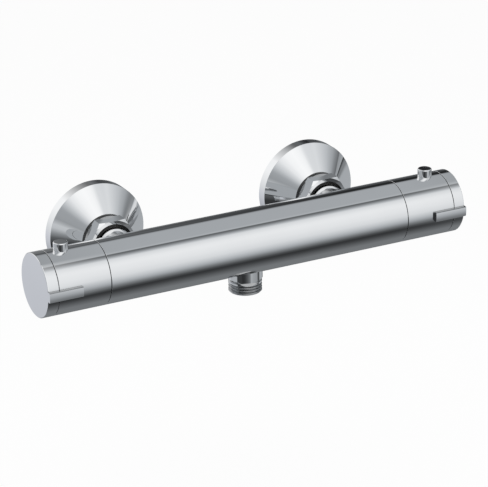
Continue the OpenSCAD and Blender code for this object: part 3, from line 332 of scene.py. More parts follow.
def lay(t, tone, card, *masks):
    """Lays a card over a tone where all the masks are 1."""
    whole = masks[0]
    for mask in masks[1:]:
        whole = t.math("MULTIPLY", whole, mask)
    return t.mix(whole, tone, card)


print("tone of the overhead card:", [round(v, 3) for v in card_tone(OVERHEAD_LEVEL)])


# %% The tent of cards
def tent_tone(t, x, y, z):
    """The light of the tent in one direction."""
    turn = t.math("DIVIDE", t.math("ARCTAN2", z, y), 2 * math.pi)
    ring = t.node("ShaderNodeValToRGB", {"Fac": t.math("FRACT", t.math("ADD", turn, 1.0))})
    fill_ramp(ring, [(angle / 360, card_tone(level)) for angle, level in CARD_LEVELS])
    tone = ring.outputs["Color"]
    aside = t.step(t.math("ABSOLUTE", t.math("SUBTRACT", x, BAR_SIDE)), *STRIP_EDGES)
    in_front = window(t, y, *FRONT_Y)
    # Overhead, then the front card as the cones show it, and the darker cards in front below the lens
    overhead = aside, window(t, z, *OVERHEAD_Z), window(t, y, *OVERHEAD_Y)
    tone = lay(t, tone, card_tone(OVERHEAD_LEVEL), *overhead)
    tone = lay(t, tone, by_place(t, x, FRONT_LEVELS), aside, in_front, window(t, z, *FRONT_Z))
    tone = lay(t, tone, by_place(t, x, LOW_LEVELS), aside, in_front, window(t, z, *LOW_Z))
    tone = lay(t, tone, by_place(t, z, LEFT_LEVELS), window(t, x, *LEFT_X), in_front)
    # Behind on the right, and the dark strip that the bar's upper edge shows
    at_right_rear = window(t, x, *RIGHT_REAR_X), window(t, z, *RIGHT_REAR_Z), window(t, y, *REAR_Y)
    tone = lay(t, tone, card_tone(RIGHT_REAR_LEVEL), *at_right_rear)
    near_bar = t.math("SUBTRACT", 1.0, aside)
    on_strip = near_bar, window(t, z, *TOP_STRIP_Z), window(t, y, *TOP_STRIP_Y)
    tone = lay(t, tone, by_place(t, x, TOP_STRIP_LEVELS), *on_strip)
    # Back card at the left, fading towards the right and a little lilac below, and the left wall beside it
    slant = t.math("MULTIPLY_ADD", t.math("ABSOLUTE", z), BACK_SLANT, x)
    start, end = BACK_FADE
    fade = t.node("ShaderNodeMapRange", {"Value": slant, "From Min": start, "From Max": end})
    at_back = t.math("MULTIPLY", fade.outputs[0], window(t, y, *BACK_Y))
    tone = lay(t, tone, by_place(t, z, BACK_LEVELS), at_back)
    lilac = t.node(
        "ShaderNodeMix", {"Factor": 1.0, 6: tone, 7: LILAC}, data_type="RGBA", blend_type="MULTIPLY"
    )
    tone = lay(t, tone, lilac.outputs[2], at_back, t.math("SUBTRACT", 1.0, t.step(z, *LILAC_BELOW)))
    return lay(t, tone, card_tone(LEFT_REAR_LEVEL), window(t, x, *LEFT_REAR_X), window(t, y, *REAR_Y))


def add_tent():
    made, t = fresh_material("tent_cards")
    place = t.node("ShaderNodeTexCoord").outputs["Object"]
    away = t.node("ShaderNodeVectorMath", {0: place}, operation="NORMALIZE").outputs[0]
    split = t.node("ShaderNodeSeparateXYZ", {0: away}).outputs
    tone = tent_tone(t, split["X"], split["Y"], split["Z"])
    light = t.node("ShaderNodeEmission", {"Color": tone, "Strength": 1 / CHROME_SHARE})
    t.node("ShaderNodeOutputMaterial", {"Surface": light.outputs[0]})
    made.cycles.emission_sampling = "NONE"
    bm = bmesh.new()
    bmesh.ops.create_icosphere(bm, subdivisions=4, radius=TENT_RADIUS)
    mesh = keep_mesh("card_tent", bm)
    mesh.materials.append(made)
    tent = add_object("card_tent", mesh)
    tent.location = middle
    tent.visible_camera = tent.visible_diffuse = tent.visible_shadow = False
    tent.visible_transmission = tent.visible_volume_scatter = False


add_tent()
print("tent of radius", TENT_RADIUS, "m around the valve")

# %% [markdown]
# Chrome hardly shows a lamp's own light, but rubber, plastic and brass do. One large soft lamp above the
# lens lights them, and the chrome doesn't mirror it, because the tent already holds its soft box.

# %% Soft lamp
LAMP_SIZE = (1.6, 1.2)
LAMP_POWER = 14
LAMP_PLACE = Vector((-0.5, -1.1, 1.7))


def add_soft_lamp():
    data = bpy.data.lights.new("soft_box", "AREA")
    data.shape, data.energy = "RECTANGLE", LAMP_POWER
    data.size, data.size_y = LAMP_SIZE
    lamp = add_object("soft_box", data)
    lamp.location = middle + LAMP_PLACE
    lamp.rotation_mode = "QUATERNION"
    lamp.rotation_quaternion = (lamp.location - middle).to_track_quat("Z", "Y")
    lamp.visible_glossy = False


add_soft_lamp()
bpy.context.scene.view_settings.view_transform = "Standard"
print("soft lamp of", LAMP_SIZE, "m,", LAMP_POWER, "W")

# %% [markdown]
# Two effects are shared by the finishes. "fine_wear" gives a slow cloudy mask, as handling and water leave
# on a bathroom fitting, and "surface_grain" a height that a Bump node turns into the faint unevenness of a
# buffed or moulded surface. Both are groups with named inputs, and each material sets its own values.


# %% Shared effects
CLOUD_EDGES = (0.3, 0.7)
SPOT_EDGES = (0.62, 0.75)


def new_group(name, inputs, outputs, kind="ShaderNodeTree"):
    """A node group with named inputs and outputs, each given as label, kind and, for inputs, value."""
    group = bpy.data.node_groups.new(name, kind)
    for label, socket_kind, value in inputs:
        socket = group.interface.new_socket(label, in_out="INPUT", socket_type=socket_kind)
        if value is not None:
            socket.default_value = value
    for label, socket_kind in outputs:
        group.interface.new_socket(label, in_out="OUTPUT", socket_type=socket_kind)
    t = Tree(group)
    return group, t, t.node("NodeGroupInput").outputs, t.node("NodeGroupOutput").inputs


def noise(t, place, scale, detail):
    made = t.node("ShaderNodeTexNoise", {"Vector": place, "Scale": scale, "Detail": detail})
    return made.outputs["Fac"]


def make_fine_wear():
    group, t, given, out = new_group(
        "fine_wear",
        [("Vector", "NodeSocketVector", None), ("Scale", "NodeSocketFloat", 60.0),
         ("Spots", "NodeSocketFloat", 900.0)],
        [("Cloud", "NodeSocketFloat"), ("Spots", "NodeSocketFloat")],
    )
    t.feed(out["Cloud"], t.step(noise(t, given["Vector"], given["Scale"], 3.0), *CLOUD_EDGES))
    t.feed(out["Spots"], t.step(noise(t, given["Vector"], given["Spots"], 2.0), *SPOT_EDGES))
    return group


def make_surface_grain():
    group, t, given, out = new_group(
        "surface_grain",
        [("Vector", "NodeSocketVector", None), ("Coarse", "NodeSocketFloat", 120.0),
         ("Fine", "NodeSocketFloat", 1500.0), ("Fine share", "NodeSocketFloat", 0.3)],
        [("Height", "NodeSocketFloat")],
    )
    coarse = noise(t, given["Vector"], given["Coarse"], 2.0)
    fine = noise(t, given["Vector"], given["Fine"], 2.0)
    t.feed(out["Height"], t.math("ADD", coarse, t.math("MULTIPLY", fine, given["Fine share"])))
    return group


fine_wear = make_fine_wear()
surface_grain = make_surface_grain()
print("shared effects:", fine_wear.name, "and", surface_grain.name)

# %% [markdown]
# Every finish is a Principled shader with its own colours, roughness range and unevenness. The chrome is
# nearly a mirror. Where it was cut after plating it is greyer, and the same greyer finish is painted shade on
# the upper faces of the ribs and on the shoulder of the hose outlet. In narrow recesses and gaps a near-black
# chrome is painted shade.
# The inner pieces are brass, steel, copper, rubber, plastic and ceramic, as in such valves. The two tables
# hold, for each finish, its name, its darker and lighter colour, its roughness from fresh to worn, and the
# depth of its unevenness.


# %% How a finish is made
def make_finish(
    name, dark, light, rough, cloud=60.0, coarse=120.0, fine=1500.0, share=0.3, depth=0.1, metal=0.0
):
    """A Principled material that goes from dark to light and from rough[0] to rough[1] with the wear."""
    made, t = fresh_material(name)
    place = t.node("ShaderNodeTexCoord").outputs["Object"]
    wear = t.node("ShaderNodeGroup", node_tree=fine_wear)
    t.feed(wear.inputs["Vector"], place)
    t.feed(wear.inputs["Scale"], cloud)
    grain = t.node("ShaderNodeGroup", node_tree=surface_grain)
    t.feed(grain.inputs["Vector"], place)
    for label, value in (("Coarse", coarse), ("Fine", fine), ("Fine share", share)):
        t.feed(grain.inputs[label], value)
    bump = t.node("ShaderNodeBump", {"Height": grain.outputs["Height"], "Distance": MM, "Strength": depth})
    body = t.node("ShaderNodeBsdfPrincipled", {"Normal": bump.outputs[0], "Metallic": metal})
    t.feed(body.inputs["Base Color"], t.mix(wear.outputs["Cloud"], dark + (1,), light + (1,)))
    worn = t.math("MULTIPLY_ADD", wear.outputs["Cloud"], rough[1] - rough[0], rough[0])
    worn = t.math("MULTIPLY_ADD", wear.outputs["Spots"], (rough[1] - rough[0]) / 2, worn)
    t.feed(body.inputs["Roughness"], worn)
    t.node("ShaderNodeOutputMaterial", {"Surface": body.outputs[0]})
    return made


print("a finish takes colour and roughness from", fine_wear.name, "and its bumps from", surface_grain.name)

# %% Metal finishes
METALS = {
    "chrome": ("chrome_plate", (0.862, 0.866, 0.87), (0.874, 0.878, 0.882), (0.012, 0.03), 0.003),
    # The near-black chrome below is painted shade for the union nuts' recesses and gaps
    "painted_gap_shade_chrome": ("near_black_painted_shade", (0.05, 0.05, 0.05), (0.09, 0.088, 0.085), (0.3, 0.45), 0.03),
    # The greyer chrome below is a cut finish on threads, and painted shade on upward faces of ribs and the
    # outlet shoulder
    "cut_and_painted_shade_chrome": ("cut_and_painted_shade_chrome", (0.36, 0.365, 0.37), (0.48, 0.485, 0.49), (0.06, 0.16), 0.01),
    "black_steel": ("blackened_steel_and_painted_shade", (0.035, 0.034, 0.033), (0.06, 0.058, 0.055), (0.35, 0.5), 0.05),
    "raw_brass": ("machined_brass", (0.64, 0.47, 0.21), (0.76, 0.6, 0.31), (0.22, 0.36), 0.05),
    "spring_steel": ("drawn_steel", (0.52, 0.53, 0.54), (0.64, 0.65, 0.66), (0.2, 0.34), 0.04),
    "copper": ("drawn_copper", (0.6, 0.29, 0.17), (0.76, 0.4, 0.25), (0.22, 0.36), 0.05),
}
CHROME_GRAIN = {"cloud": 45, "coarse": 60, "fine": 900, "share": 0.1}
finishes = {}
for key, (name, dark, light, rough, depth) in METALS.items():
    grain = CHROME_GRAIN if key == "chrome" else {}
    finishes[key] = make_finish(name, dark, light, rough, depth=depth, metal=1.0, **grain)
print("metals:", ", ".join(finishes))

# %% Rubber, plastic and ceramic finishes
OTHERS = {
    "hot_washer": ("red_washer", (0.45, 0.03, 0.025), (0.55, 0.06, 0.045), (0.55, 0.7), 0.1),
    "cold_washer": ("blue_washer", (0.02, 0.06, 0.26), (0.035, 0.1, 0.36), (0.55, 0.7), 0.1),
    "seal_rubber": ("seal_rubber", (0.012, 0.012, 0.013), (0.03, 0.03, 0.032), (0.5, 0.68), 0.12),
    "valve_plastic": ("white_plastic", (0.74, 0.74, 0.7), (0.82, 0.82, 0.78), (0.38, 0.5), 0.08),
    "poppet_plastic": ("blue_plastic", (0.04, 0.11, 0.3), (0.06, 0.15, 0.38), (0.35, 0.48), 0.08),
    "cage_plastic": ("cream_plastic", (0.66, 0.61, 0.47), (0.74, 0.69, 0.55), (0.42, 0.56), 0.1),
    "stop_plastic": ("grey_plastic", (0.5, 0.5, 0.49), (0.58, 0.58, 0.57), (0.4, 0.54), 0.1),
    "carrier_plastic": ("carrier_plastic", (0.76, 0.76, 0.74), (0.84, 0.84, 0.82), (0.38, 0.52), 0.1),
    "disc_ceramic": ("lapped_ceramic", (0.84, 0.84, 0.8), (0.9, 0.9, 0.87), (0.12, 0.22), 0.02),
}
for key, (name, dark, light, rough, depth) in OTHERS.items():
    finishes[key] = make_finish(name, dark, light, rough, depth=depth)
print("others:", ", ".join(OTHERS))

# %% [markdown]
# The CAD solids keep their own meshes, with a finish for each. What the camera sees gets a piece of its own
# below, because polished chrome shows every facet of a mesh, while the solids' loose triangles can't be
# shaded smoothly. The rings inside the union nuts get the black finish as painted shade, so that the gap
# around the tail looks deep.

# %% Finish of each CAD node
node_slot = {s["node"]: s["material_slot"] for s in frame["record"]["subparts"]}
node_body = {n: b for b, members in frame["record"]["behaviour"]["bodies"].items() for n in members}
for node, thing in frame["nodes"].items():
    thing.data.materials.clear()
    # The rings inside the union nuts take the black finish as painted shade
    thing.data.materials.append(finishes["black_steel" if node.startswith("nut_ring") else node_slot[node]])
print(len(frame["nodes"]), "nodes have a finish")

# %% [markdown]
# A mirror shows the direction of its surface, so the normals matter more than the number of faces. Nearly
# every face of the valve was turned on a lathe. polish() finds, for each flat patch of a mesh, the middle
# line it was turned about, and gives its corners the exact normals of that cylinder, cone or rounding.
# Patches that were milled flat stay flat.


# %% Merged meshes
WELD = 0.0005 * MM
TINY = 1e-15


def merge_faces(points, faces):
    bm = bmesh.new()
    made = [bm.verts.new(p) for p in points]
    for face in faces:
        bm.faces.new([made[k] for k in face])
    bmesh.ops.remove_doubles(bm, verts=bm.verts, dist=WELD)
    return bm


def close_mesh(name, bm):
    bmesh.ops.triangulate(bm, faces=bm.faces)
    return keep_mesh(name, bm)


def unit_rows(rows):
    return rows / np.maximum(np.linalg.norm(rows, axis=-1, keepdims=True), TINY)


print("corners closer than", round(WELD / MM, 4), "mm are merged")

# %% Flat patches of a mesh
EASE_WIDTH = 0.75 * MM
PATCH_ANGLE = math.radians(0.03)


def find_patches(mesh, normals):
    """Lists the connected groups of faces that lie in one plane."""
    by_edge = {}
    for poly in mesh.polygons:
        for key in poly.edge_keys:
            by_edge.setdefault(key, []).append(poly.index)
    parent = list(range(len(mesh.polygons)))

    def root(k):
        while parent[k] != k:
            parent[k] = parent[parent[k]]
            k = parent[k]
        return k

    flat = math.cos(PATCH_ANGLE)
    for pair in by_edge.values():
        if len(pair) == 2 and float(normals[pair[0]] @ normals[pair[1]]) > flat:
            parent[root(pair[0])] = root(pair[1])
    groups = {}
    for k in range(len(parent)):
        groups.setdefault(root(k), []).append(k)
    return [np.array(group) for group in groups.values()]


def measure_faces(points, corners):
    """The normal, the width and the three corner angles of each triangle."""
    a, b, c = (points[corners[:, k]] for k in range(3))
    cross = np.cross(b - a, c - a)
    sides = np.stack([np.linalg.norm(v, axis=1) for v in (b - a, c - b, a - c)])
    width = np.linalg.norm(cross, axis=1) / np.maximum(sides.max(axis=0), TINY)
    angles = np.zeros(corners.shape)
    for k in range(3):
        p, q, r = (points[corners[:, (k + j) % 3]] for j in range(3))
        angles[:, k] = np.arccos(np.clip(np.sum(unit_rows(q - p) * unit_rows(r - p), axis=1), -1, 1))
    return unit_rows(cross), width, angles


print("faces narrower than", round(EASE_WIDTH / MM, 2), "mm take their neighbours' normals")

# %% Fit of the faces to a middle line
PATCH_SAG = 0.06 * MM
SIDE_LEAN = 0.06


def fit_turned(points, corners, normals, line):
    """Fits each face to a cylinder or cone about a line.

    Gives whether the face fits, how far its surface lies from the line's start, the face's extent along
    that surface, and the exact normals at its corners.
    """
    origin, direction = (np.array(part) for part in line)
    offset = points - origin
    height = offset @ direction
    radial = offset - height[:, None] * direction
    radius = np.linalg.norm(radial, axis=1)
    outward = unit_rows(radial)
    centre = unit_rows(outward[corners].mean(axis=1))
    along = normals @ direction
    out = np.sum(normals * centre, axis=1)
    lean = np.sum(normals * np.cross(direction, centre), axis=1)
    length = np.maximum(np.hypot(along, out), TINY)
    along, out = along / length, out / length
    support = out[:, None] * radius[corners] + along[:, None] * height[corners]
    fits = (np.ptp(support, axis=1) < PATCH_SAG) & (np.abs(lean) < SIDE_LEAN)
    extent = np.hypot(np.ptp(height[corners], axis=1), np.ptp(radius[corners], axis=1))
    turned = along[:, None, None] * direction + out[:, None, None] * outward[corners]
    return fits, support, extent, unit_rows(turned)


print("a turned patch keeps within", round(PATCH_SAG / MM, 2), "mm of its cylinder or cone")

# %% Normals at the corners
SMOOTH_ANGLE = math.radians(12)
EASE_ANGLE = math.radians(62)


def blend_corners(corners, angles, exact, kind, narrow):
    """Mixes the normals of faces that run on smoothly; narrow faces borrow their neighbours'."""
    around = [[] for _ in range(corners.max() + 1)]
    for face, trio in enumerate(corners):
        for k, vertex in enumerate(trio):
            around[vertex].append((face, k))
    near, eased = math.cos(SMOOTH_ANGLE), math.cos(EASE_ANGLE)
    made = np.zeros(exact.shape)
    for face, trio in enumerate(corners):
        for k, vertex in enumerate(trio):
            own = exact[face, k]
            total = np.zeros(3)
            if narrow[face]:
                for other, j in around[vertex]:
                    if not narrow[other] and exact[other, j] @ own > eased:
                        total += exact[other, j] * angles[other, j]
            if not total.any():
                for other, j in around[vertex]:
                    if kind[other] == kind[face] and exact[other, j] @ own > near:
                        total += exact[other, j] * angles[other, j]
            made[face, k] = total
    return unit_rows(made)


print("edges under", round(math.degrees(SMOOTH_ANGLE)), "degrees are shaded smoothly")


# %% Polish
def polish(mesh, lines):
    """Gives every corner the normal of the turned or flat surface it belongs to."""
    points = np.array([v.co[:] for v in mesh.vertices], np.float64)
    corners = np.array([p.vertices[:] for p in mesh.polygons])
    normals, width, angles = measure_faces(points, corners)
    groups = find_patches(mesh, normals)
    kind = np.full(len(corners), -1)
    exact = np.repeat(normals[:, None, :], 3, axis=1)
    narrow = np.zeros(len(corners), bool)
    for group in groups:
        narrow[group] = width[group].max() < EASE_WIDTH / 2
    for number, line in enumerate(lines):
        fits, support, extent, turned = fit_turned(points, corners, normals, line)
        for group in groups:
            free = (kind[group] < 0).all()
            if free and fits[group].all() and np.ptp(support[group]) < PATCH_SAG:
                kind[group] = number
                narrow[group] = extent[group] < EASE_WIDTH
                exact[group] = turned[group]
    made = blend_corners(corners, angles, exact, kind, narrow)
    mesh.polygons.foreach_set("use_smooth", np.ones(len(corners), bool))
    mesh.normals_split_custom_set([tuple(n) for n in made.reshape(-1, 3)])
    return int((kind >= 0).sum())


print("a face that fits no middle line stays flat")

# %% [markdown]
# The bar is one casting with a handle sleeve and a cap at each end, a rib on each sleeve and a button in it.
# The upper side of each rib gets the greyer finish, a painted shade that makes it darker than its front.

# %% Pieces from the solids
UPWARD = 0.7


def solid_of(node):
    source = frame["nodes"][node].data
    return merge_faces([v.co[:] for v in source.vertices], [p.vertices[:] for p in source.polygons])


def dress(name, mesh, nodes, finish=None):
    slot_name = node_slot[nodes[0]]
    if not mesh.materials:
        mesh.materials.append(finishes[finish or slot_name])
    piece = add_object(name, mesh)
    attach(piece, node_body[nodes[0]])
    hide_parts(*nodes)
    return piece


def button_line(knob):
    low, high = (Vector(c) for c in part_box(knob + "_button"))
    return (Vector(((low.x + high.x) / 2, middle.y, middle.z)), Z)


def cut_faces(mesh, finish, chosen):
    """Gives the chosen faces of a piece one more finish."""
    mesh.materials.append(finishes[finish])
    slot = len(mesh.materials) - 1
    for poly in mesh.polygons:
        if chosen(poly):
            poly.material_index = slot


polished = {"body": ("valve_body", [bar_line, hot_line, cold_line, hose_line])}
for knob in ("temp", "flow"):
    polished[knob + "_sleeve"] = (knob + "_handle_sleeve", [bar_line, button_line(knob)])
    polished[knob + "_cap"] = (knob + "_handle_cap", [bar_line])
    polished[knob + "_rib"] = (knob + "_grip_rib", [bar_line])
    polished[knob + "_button"] = (knob + "_stop_button", [button_line(knob)])
for node, (name, lines) in polished.items():
    mesh = close_mesh(name, solid_of(node))
    done = polish(mesh, lines)
    dress(name, mesh, [node])
    if node.endswith("_rib"):
        # Painted shade: the upward faces of each rib take the greyer finish
        cut_faces(mesh, "cut_and_painted_shade_chrome", lambda poly: poly.normal.z > UPWARD)
    print(name, len(mesh.polygons), "faces,", done, "turned")

# %% [markdown]
# A wall plate is spun from thin sheet brass, so every part of it is round about one middle line, and a rule
# gives its shape: a flat ring under the nut, a cone, and a short rim that stands on the wall. It could be
# drawn as a curve with a Screw modifier, but the edge between cone and rim has to stay crisp at any size.
# Geometry Nodes make it from named sizes: each row of a grid takes one corner of the section, and the
# columns go round. The sizes are measured on the solid. The same few helpers serve the threads further on.

# %% Pieces by Geometry Nodes
GRID_WELD = 0.002 * MM


def wrap_grid(t, grid, out, finish, radius, height, turn):
    """Bends a grid to the radius, height and turn worked out for its points, and gives it a finish."""
    angle = t.math("MULTIPLY", turn, 2 * math.pi)
    spot = t.node("ShaderNodeCombineXYZ", {
        "X": t.math("MULTIPLY", t.math("COSINE", angle), radius),
        "Y": t.math("MULTIPLY", t.math("SINE", angle), radius), "Z": height,
    })
    moved = t.node("GeometryNodeSetPosition", {"Geometry": grid.outputs["Mesh"], "Position": spot.outputs[0]})
    merged = t.node("GeometryNodeMergeByDistance", {"Geometry": moved.outputs[0], "Distance": GRID_WELD})
    smooth = t.node("GeometryNodeSetShadeSmooth", {"Geometry": merged.outputs[0]})
    real = t.node("GeometryNodeRealizeInstances", {"Geometry": smooth.outputs[0]})
    made = t.node("GeometryNodeSetMaterial", {"Geometry": real.outputs[0], "Material": finish})
    t.feed(out["Geometry"], made.outputs[0])


def grid_place(t):
    """How far round and how far up a point of a 1 x 1 grid lies, both from 0 to 1."""
    place = t.node("ShaderNodeSeparateXYZ", {0: t.node("GeometryNodeInputPosition").outputs[0]}).outputs
    return t.math("ADD", place["X"], 0.5), t.math("ADD", place["Y"], 0.5)


def mesh_by_nodes(name, tree, finish, sizes):
    """The plain mesh that a node tree makes from named sizes."""
    sockets = {i.name: i.identifier for i in tree.interface.items_tree if i.in_out == "INPUT"}
    holder = add_object(name + "_maker", bpy.data.meshes.new(name + "_maker"))
    modifier = holder.modifiers.new(tree.name, "NODES")
    modifier.node_group = tree
    modifier[sockets["Finish"]] = finishes[finish]
    for label, value in sizes.items():
        modifier[sockets[label]] = value
    holder.update_tag()
    graph = bpy.context.evaluated_depsgraph_get()
    mesh = bpy.data.meshes.new_from_object(holder.evaluated_get(graph), depsgraph=graph)
    bpy.data.objects.remove(holder)
    mesh.name = name
    return mesh


def place_on_line(mesh, start, direction):
    mesh.transform(Matrix.Translation(start) @ Z.rotation_difference(direction).to_matrix().to_4x4())
    return mesh


print("points of a bent grid closer than", round(GRID_WELD / MM, 4), "mm are merged")

# %% Tree of a wall plate
PLATE_INPUTS = (
    "Hole radius", "Front radius", "Rim radius", "Inner rim radius", "Inner front radius",
    "Cone start", "Cone end", "Wall side", "Inner cone start", "Inner cone end", "Edge",
)


def plate_section(t, given):
    """The corners of a plate's section, from its hole round the outside and back along the inside."""
    across = t.math("SUBTRACT", given["Rim radius"], given["Front radius"])
    deep = t.math("SUBTRACT", given["Cone end"], given["Cone start"])
    slope = t.math("SQRT", t.math("ADD", t.math("MULTIPLY", across, across), t.math("MULTIPLY", deep, deep)))
    share = t.math("DIVIDE", given["Edge"], slope)
    edge_radius = t.math("SUBTRACT", given["Rim radius"], t.math("MULTIPLY", across, share))
    edge_start = t.math("SUBTRACT", given["Cone end"], t.math("MULTIPLY", deep, share))
    edge_end = t.math("ADD", given["Cone end"], given["Edge"])
    front = given["Hole radius"], given["Cone start"]
    return [
        front,
        (given["Front radius"], given["Cone start"]),
        (edge_radius, edge_start),
        (given["Rim radius"], edge_end),
        (given["Rim radius"], given["Wall side"]),
        (given["Inner rim radius"], given["Wall side"]),
        (given["Inner rim radius"], given["Inner cone end"]),
        (given["Inner front radius"], given["Inner cone start"]),
        (given["Hole radius"], given["Inner cone start"]),
        front,
    ]


def make_plate_tree():
    inputs = [(label, "NodeSocketFloat", None) for label in PLATE_INPUTS]
    inputs += [("Sides", "NodeSocketInt", None), ("Finish", "NodeSocketMaterial", None)]
    tree, t, given, out = new_group(
        "spun_plate", inputs, [("Geometry", "NodeSocketGeometry")], "GeometryNodeTree"
    )
    section = plate_section(t, given)
    grid = t.node("GeometryNodeMeshGrid", {"Size X": 1.0, "Size Y": 1.0, "Vertices Y": len(section)})
    t.feed(grid.inputs["Vertices X"], t.math("ADD", given["Sides"], 1.0))
    turn, up = grid_place(t)
    row = t.math("ROUND", t.math("MULTIPLY", up, len(section) - 1.0))
    picks = []
    for part in range(2):
        pick = t.node("GeometryNodeIndexSwitch", data_type="FLOAT")
        while len(pick.index_switch_items) < len(section):
            pick.index_switch_items.new()
        t.feed(pick.inputs["Index"], row)
        for k, corner in enumerate(section):
            t.feed(pick.inputs[k + 1], corner[part])
        picks.append(pick.outputs[0])
    wrap_grid(t, grid, out, given["Finish"], *picks, turn)
    return tree


plate_tree = make_plate_tree()
print("inputs of", plate_tree.name, "are", ", ".join(PLATE_INPUTS))

# %% Sizes of a wall plate, and both plates
PLATE_EDGE = 0.16 * MM
PLATE_SIDES = 192
APART = 0.02 * MM
LEVEL = 0.05 * MM
RIM_MARGIN = 0.1 * MM


def section_corners(node, line):
    """The different pairs of radius and height on a turned solid, in metres."""
    corners = []
    for vertex in frame["nodes"][node].data.vertices:
        height = (vertex.co - line[0]) @ line[1]
        radius = (vertex.co - line[0] - line[1] * height).length
        if all(abs(radius - r) + abs(height - h) > APART for r, h in corners):
            corners.append((radius, height))
    return corners


def plate_sizes(node, line):
    """Measures a solid wall plate: its radii, and its heights along the line."""
    corners = section_corners(node, line)
    rim, hole = max(r for r, h in corners), min(r for r, h in corners)
    wall, front_h = max(h for r, h in corners), min(h for r, h in corners)
    front = max(r for r, h in corners if h < front_h + LEVEL)
    inner_rim = min(r for r, h in corners if h > wall - LEVEL)
    inner_end = min(h for r, h in corners if abs(r - inner_rim) < LEVEL)
    inner_start = max(h for r, h in corners if abs(r - hole) < LEVEL)
    inner_front = max(r for r, h in corners if abs(h - inner_start) < LEVEL)
    # The cone is drawn on past the solid's chamfer, out to the rim
    on_cone = [(r, h) for r, h in corners if inner_rim < r < rim - RIM_MARGIN and h < inner_end]
    last_r, last_h = max(on_cone)
    cone_end = front_h + (last_h - front_h) * (rim - front) / (last_r - front)
    radii = hole, front, rim, inner_rim, inner_front
    return dict(zip(PLATE_INPUTS, radii + (front_h, cone_end, wall, inner_start, inner_end, PLATE_EDGE)))


for supply, side, line, wall_line in SUPPLIES:
    node, name = "wall_plate_" + supply, "wall_plate_" + side
    sizes = plate_sizes(node, line)
    plate = mesh_by_nodes(name, plate_tree, "chrome", {**sizes, "Sides": PLATE_SIDES})
    bm = bmesh.new()
    bm.from_mesh(place_on_line(plate, *line))
    bmesh.ops.recalc_face_normals(bm, faces=bm.faces)
    bmesh.ops.triangulate(bm, faces=bm.faces)
    bm.to_mesh(plate)
    bm.free()
    polish(plate, [line])
    dress(name, plate, [node])
    print(name, {label: round(value / MM, 2) for label, value in sizes.items()})

# %% [markdown]
# The recess in the front of each union nut is deep, and the collar behind the six flats sits close to the
# wall plate. These faces get a near-black chrome as painted shade, so that the ring around the tail and the
# joint between nut and plate read as dark gaps. The small steps between the flats and the collar get the
# greyer finish.

# %% Union nuts
RECESS_REACH = 13.35 * MM
COLLAR_RADII = (15.85 * MM, 15.95 * MM)
FACING = 0.9
for supply, side, line, wall_line in SUPPLIES:
    mesh = close_mesh("union_nut_" + side, solid_of("union_nut_" + supply))
    polish(mesh, [line])
    for finish in ("chrome", "painted_gap_shade_chrome", "cut_and_painted_shade_chrome"):
        mesh.materials.append(finishes[finish])
    away = [math.hypot(v.co.x - line[0].x, v.co.z - line[0].z) for v in mesh.vertices]
    for poly in mesh.polygons:
        near, far = min(away[k] for k in poly.vertices), max(away[k] for k in poly.vertices)
        collar = near > COLLAR_RADII[0] and far < COLLAR_RADII[1]
        step = collar and abs(poly.normal.y) > FACING
        # Recess and collar faces take the near-black chrome as painted shade; the steps take the greyer
        # finish
        poly.material_index = 2 if step else int(far < RECESS_REACH or collar)
    dress(mesh.name, mesh, ["union_nut_" + supply])
    print(mesh.name, len(mesh.polygons), "faces")

# %% [markdown]
# A pipe thread is one groove that runs round and round. Its sides meet at 55 degrees and its crests and
# roots are rounded, so a smooth wave with the thread's pitch and depth is a close match. Geometry Nodes
# make it: the rows of a grid follow the groove, each row keeps its own depth, and the grid is held back
# at both ends, where the groove runs out. The same tree cuts the hose thread and both wall threads.

# %% Tree of a thread
PIPE_PITCH = 1.814 * MM
PIPE_DEPTH = 1.162 * MM
THREAD_R = 10.4775 * MM
THREAD_INPUTS = [
    ("Crest radius", "NodeSocketFloat", THREAD_R), ("Depth", "NodeSocketFloat", PIPE_DEPTH),
    ("Pitch", "NodeSocketFloat", PIPE_PITCH), ("Length", "NodeSocketFloat", 6 * MM),
    ("Run-out", "NodeSocketFloat", 0.6 * MM), ("Sides", "NodeSocketInt", 96),
    ("Rows per turn", "NodeSocketInt", 12), ("Finish", "NodeSocketMaterial", None),
]


def make_thread_tree():
    tree, t, given, out = new_group(
        "pipe_thread", THREAD_INPUTS, [("Geometry", "NodeSocketGeometry")], "GeometryNodeTree"
    )
    reach = t.math("ADD", given["Length"], given["Pitch"])
    rows = t.math("MULTIPLY", t.math("DIVIDE", reach, given["Pitch"]), given["Rows per turn"])
    grid = t.node("GeometryNodeMeshGrid", {"Size X": 1.0, "Size Y": 1.0})
    t.feed(grid.inputs["Vertices X"], t.math("ADD", given["Sides"], 1.0))
    t.feed(grid.inputs["Vertices Y"], t.math("ADD", t.math("CEIL", rows), 1.0))
    turn, up = grid_place(t)
    row = t.math("MULTIPLY", up, reach)
    height = t.math("SUBTRACT", row, t.math("MULTIPLY", turn, given["Pitch"]))
    height = t.math("MINIMUM", t.math("MAXIMUM", height, 0.0), given["Length"])
    wave = t.math("COSINE", t.math("MULTIPLY", t.math("DIVIDE", row, given["Pitch"]), 2 * math.pi))
    groove = t.math("MULTIPLY", t.math("MULTIPLY_ADD", wave, -0.5, 0.5), given["Depth"])
    begin = t.step(height, 0.0, given["Run-out"])
    end = t.step(t.math("SUBTRACT", given["Length"], height), 0.0, given["Run-out"])
    groove = t.math("MULTIPLY", groove, t.math("MULTIPLY", begin, end))
    radius = t.math("SUBTRACT", given["Crest radius"], groove)
    wrap_grid(t, grid, out, given["Finish"], radius, height, turn)
    return tree


thread_tree = make_thread_tree()
print("inputs of", thread_tree.name, "are", ", ".join(label for label, kind, value in THREAD_INPUTS))

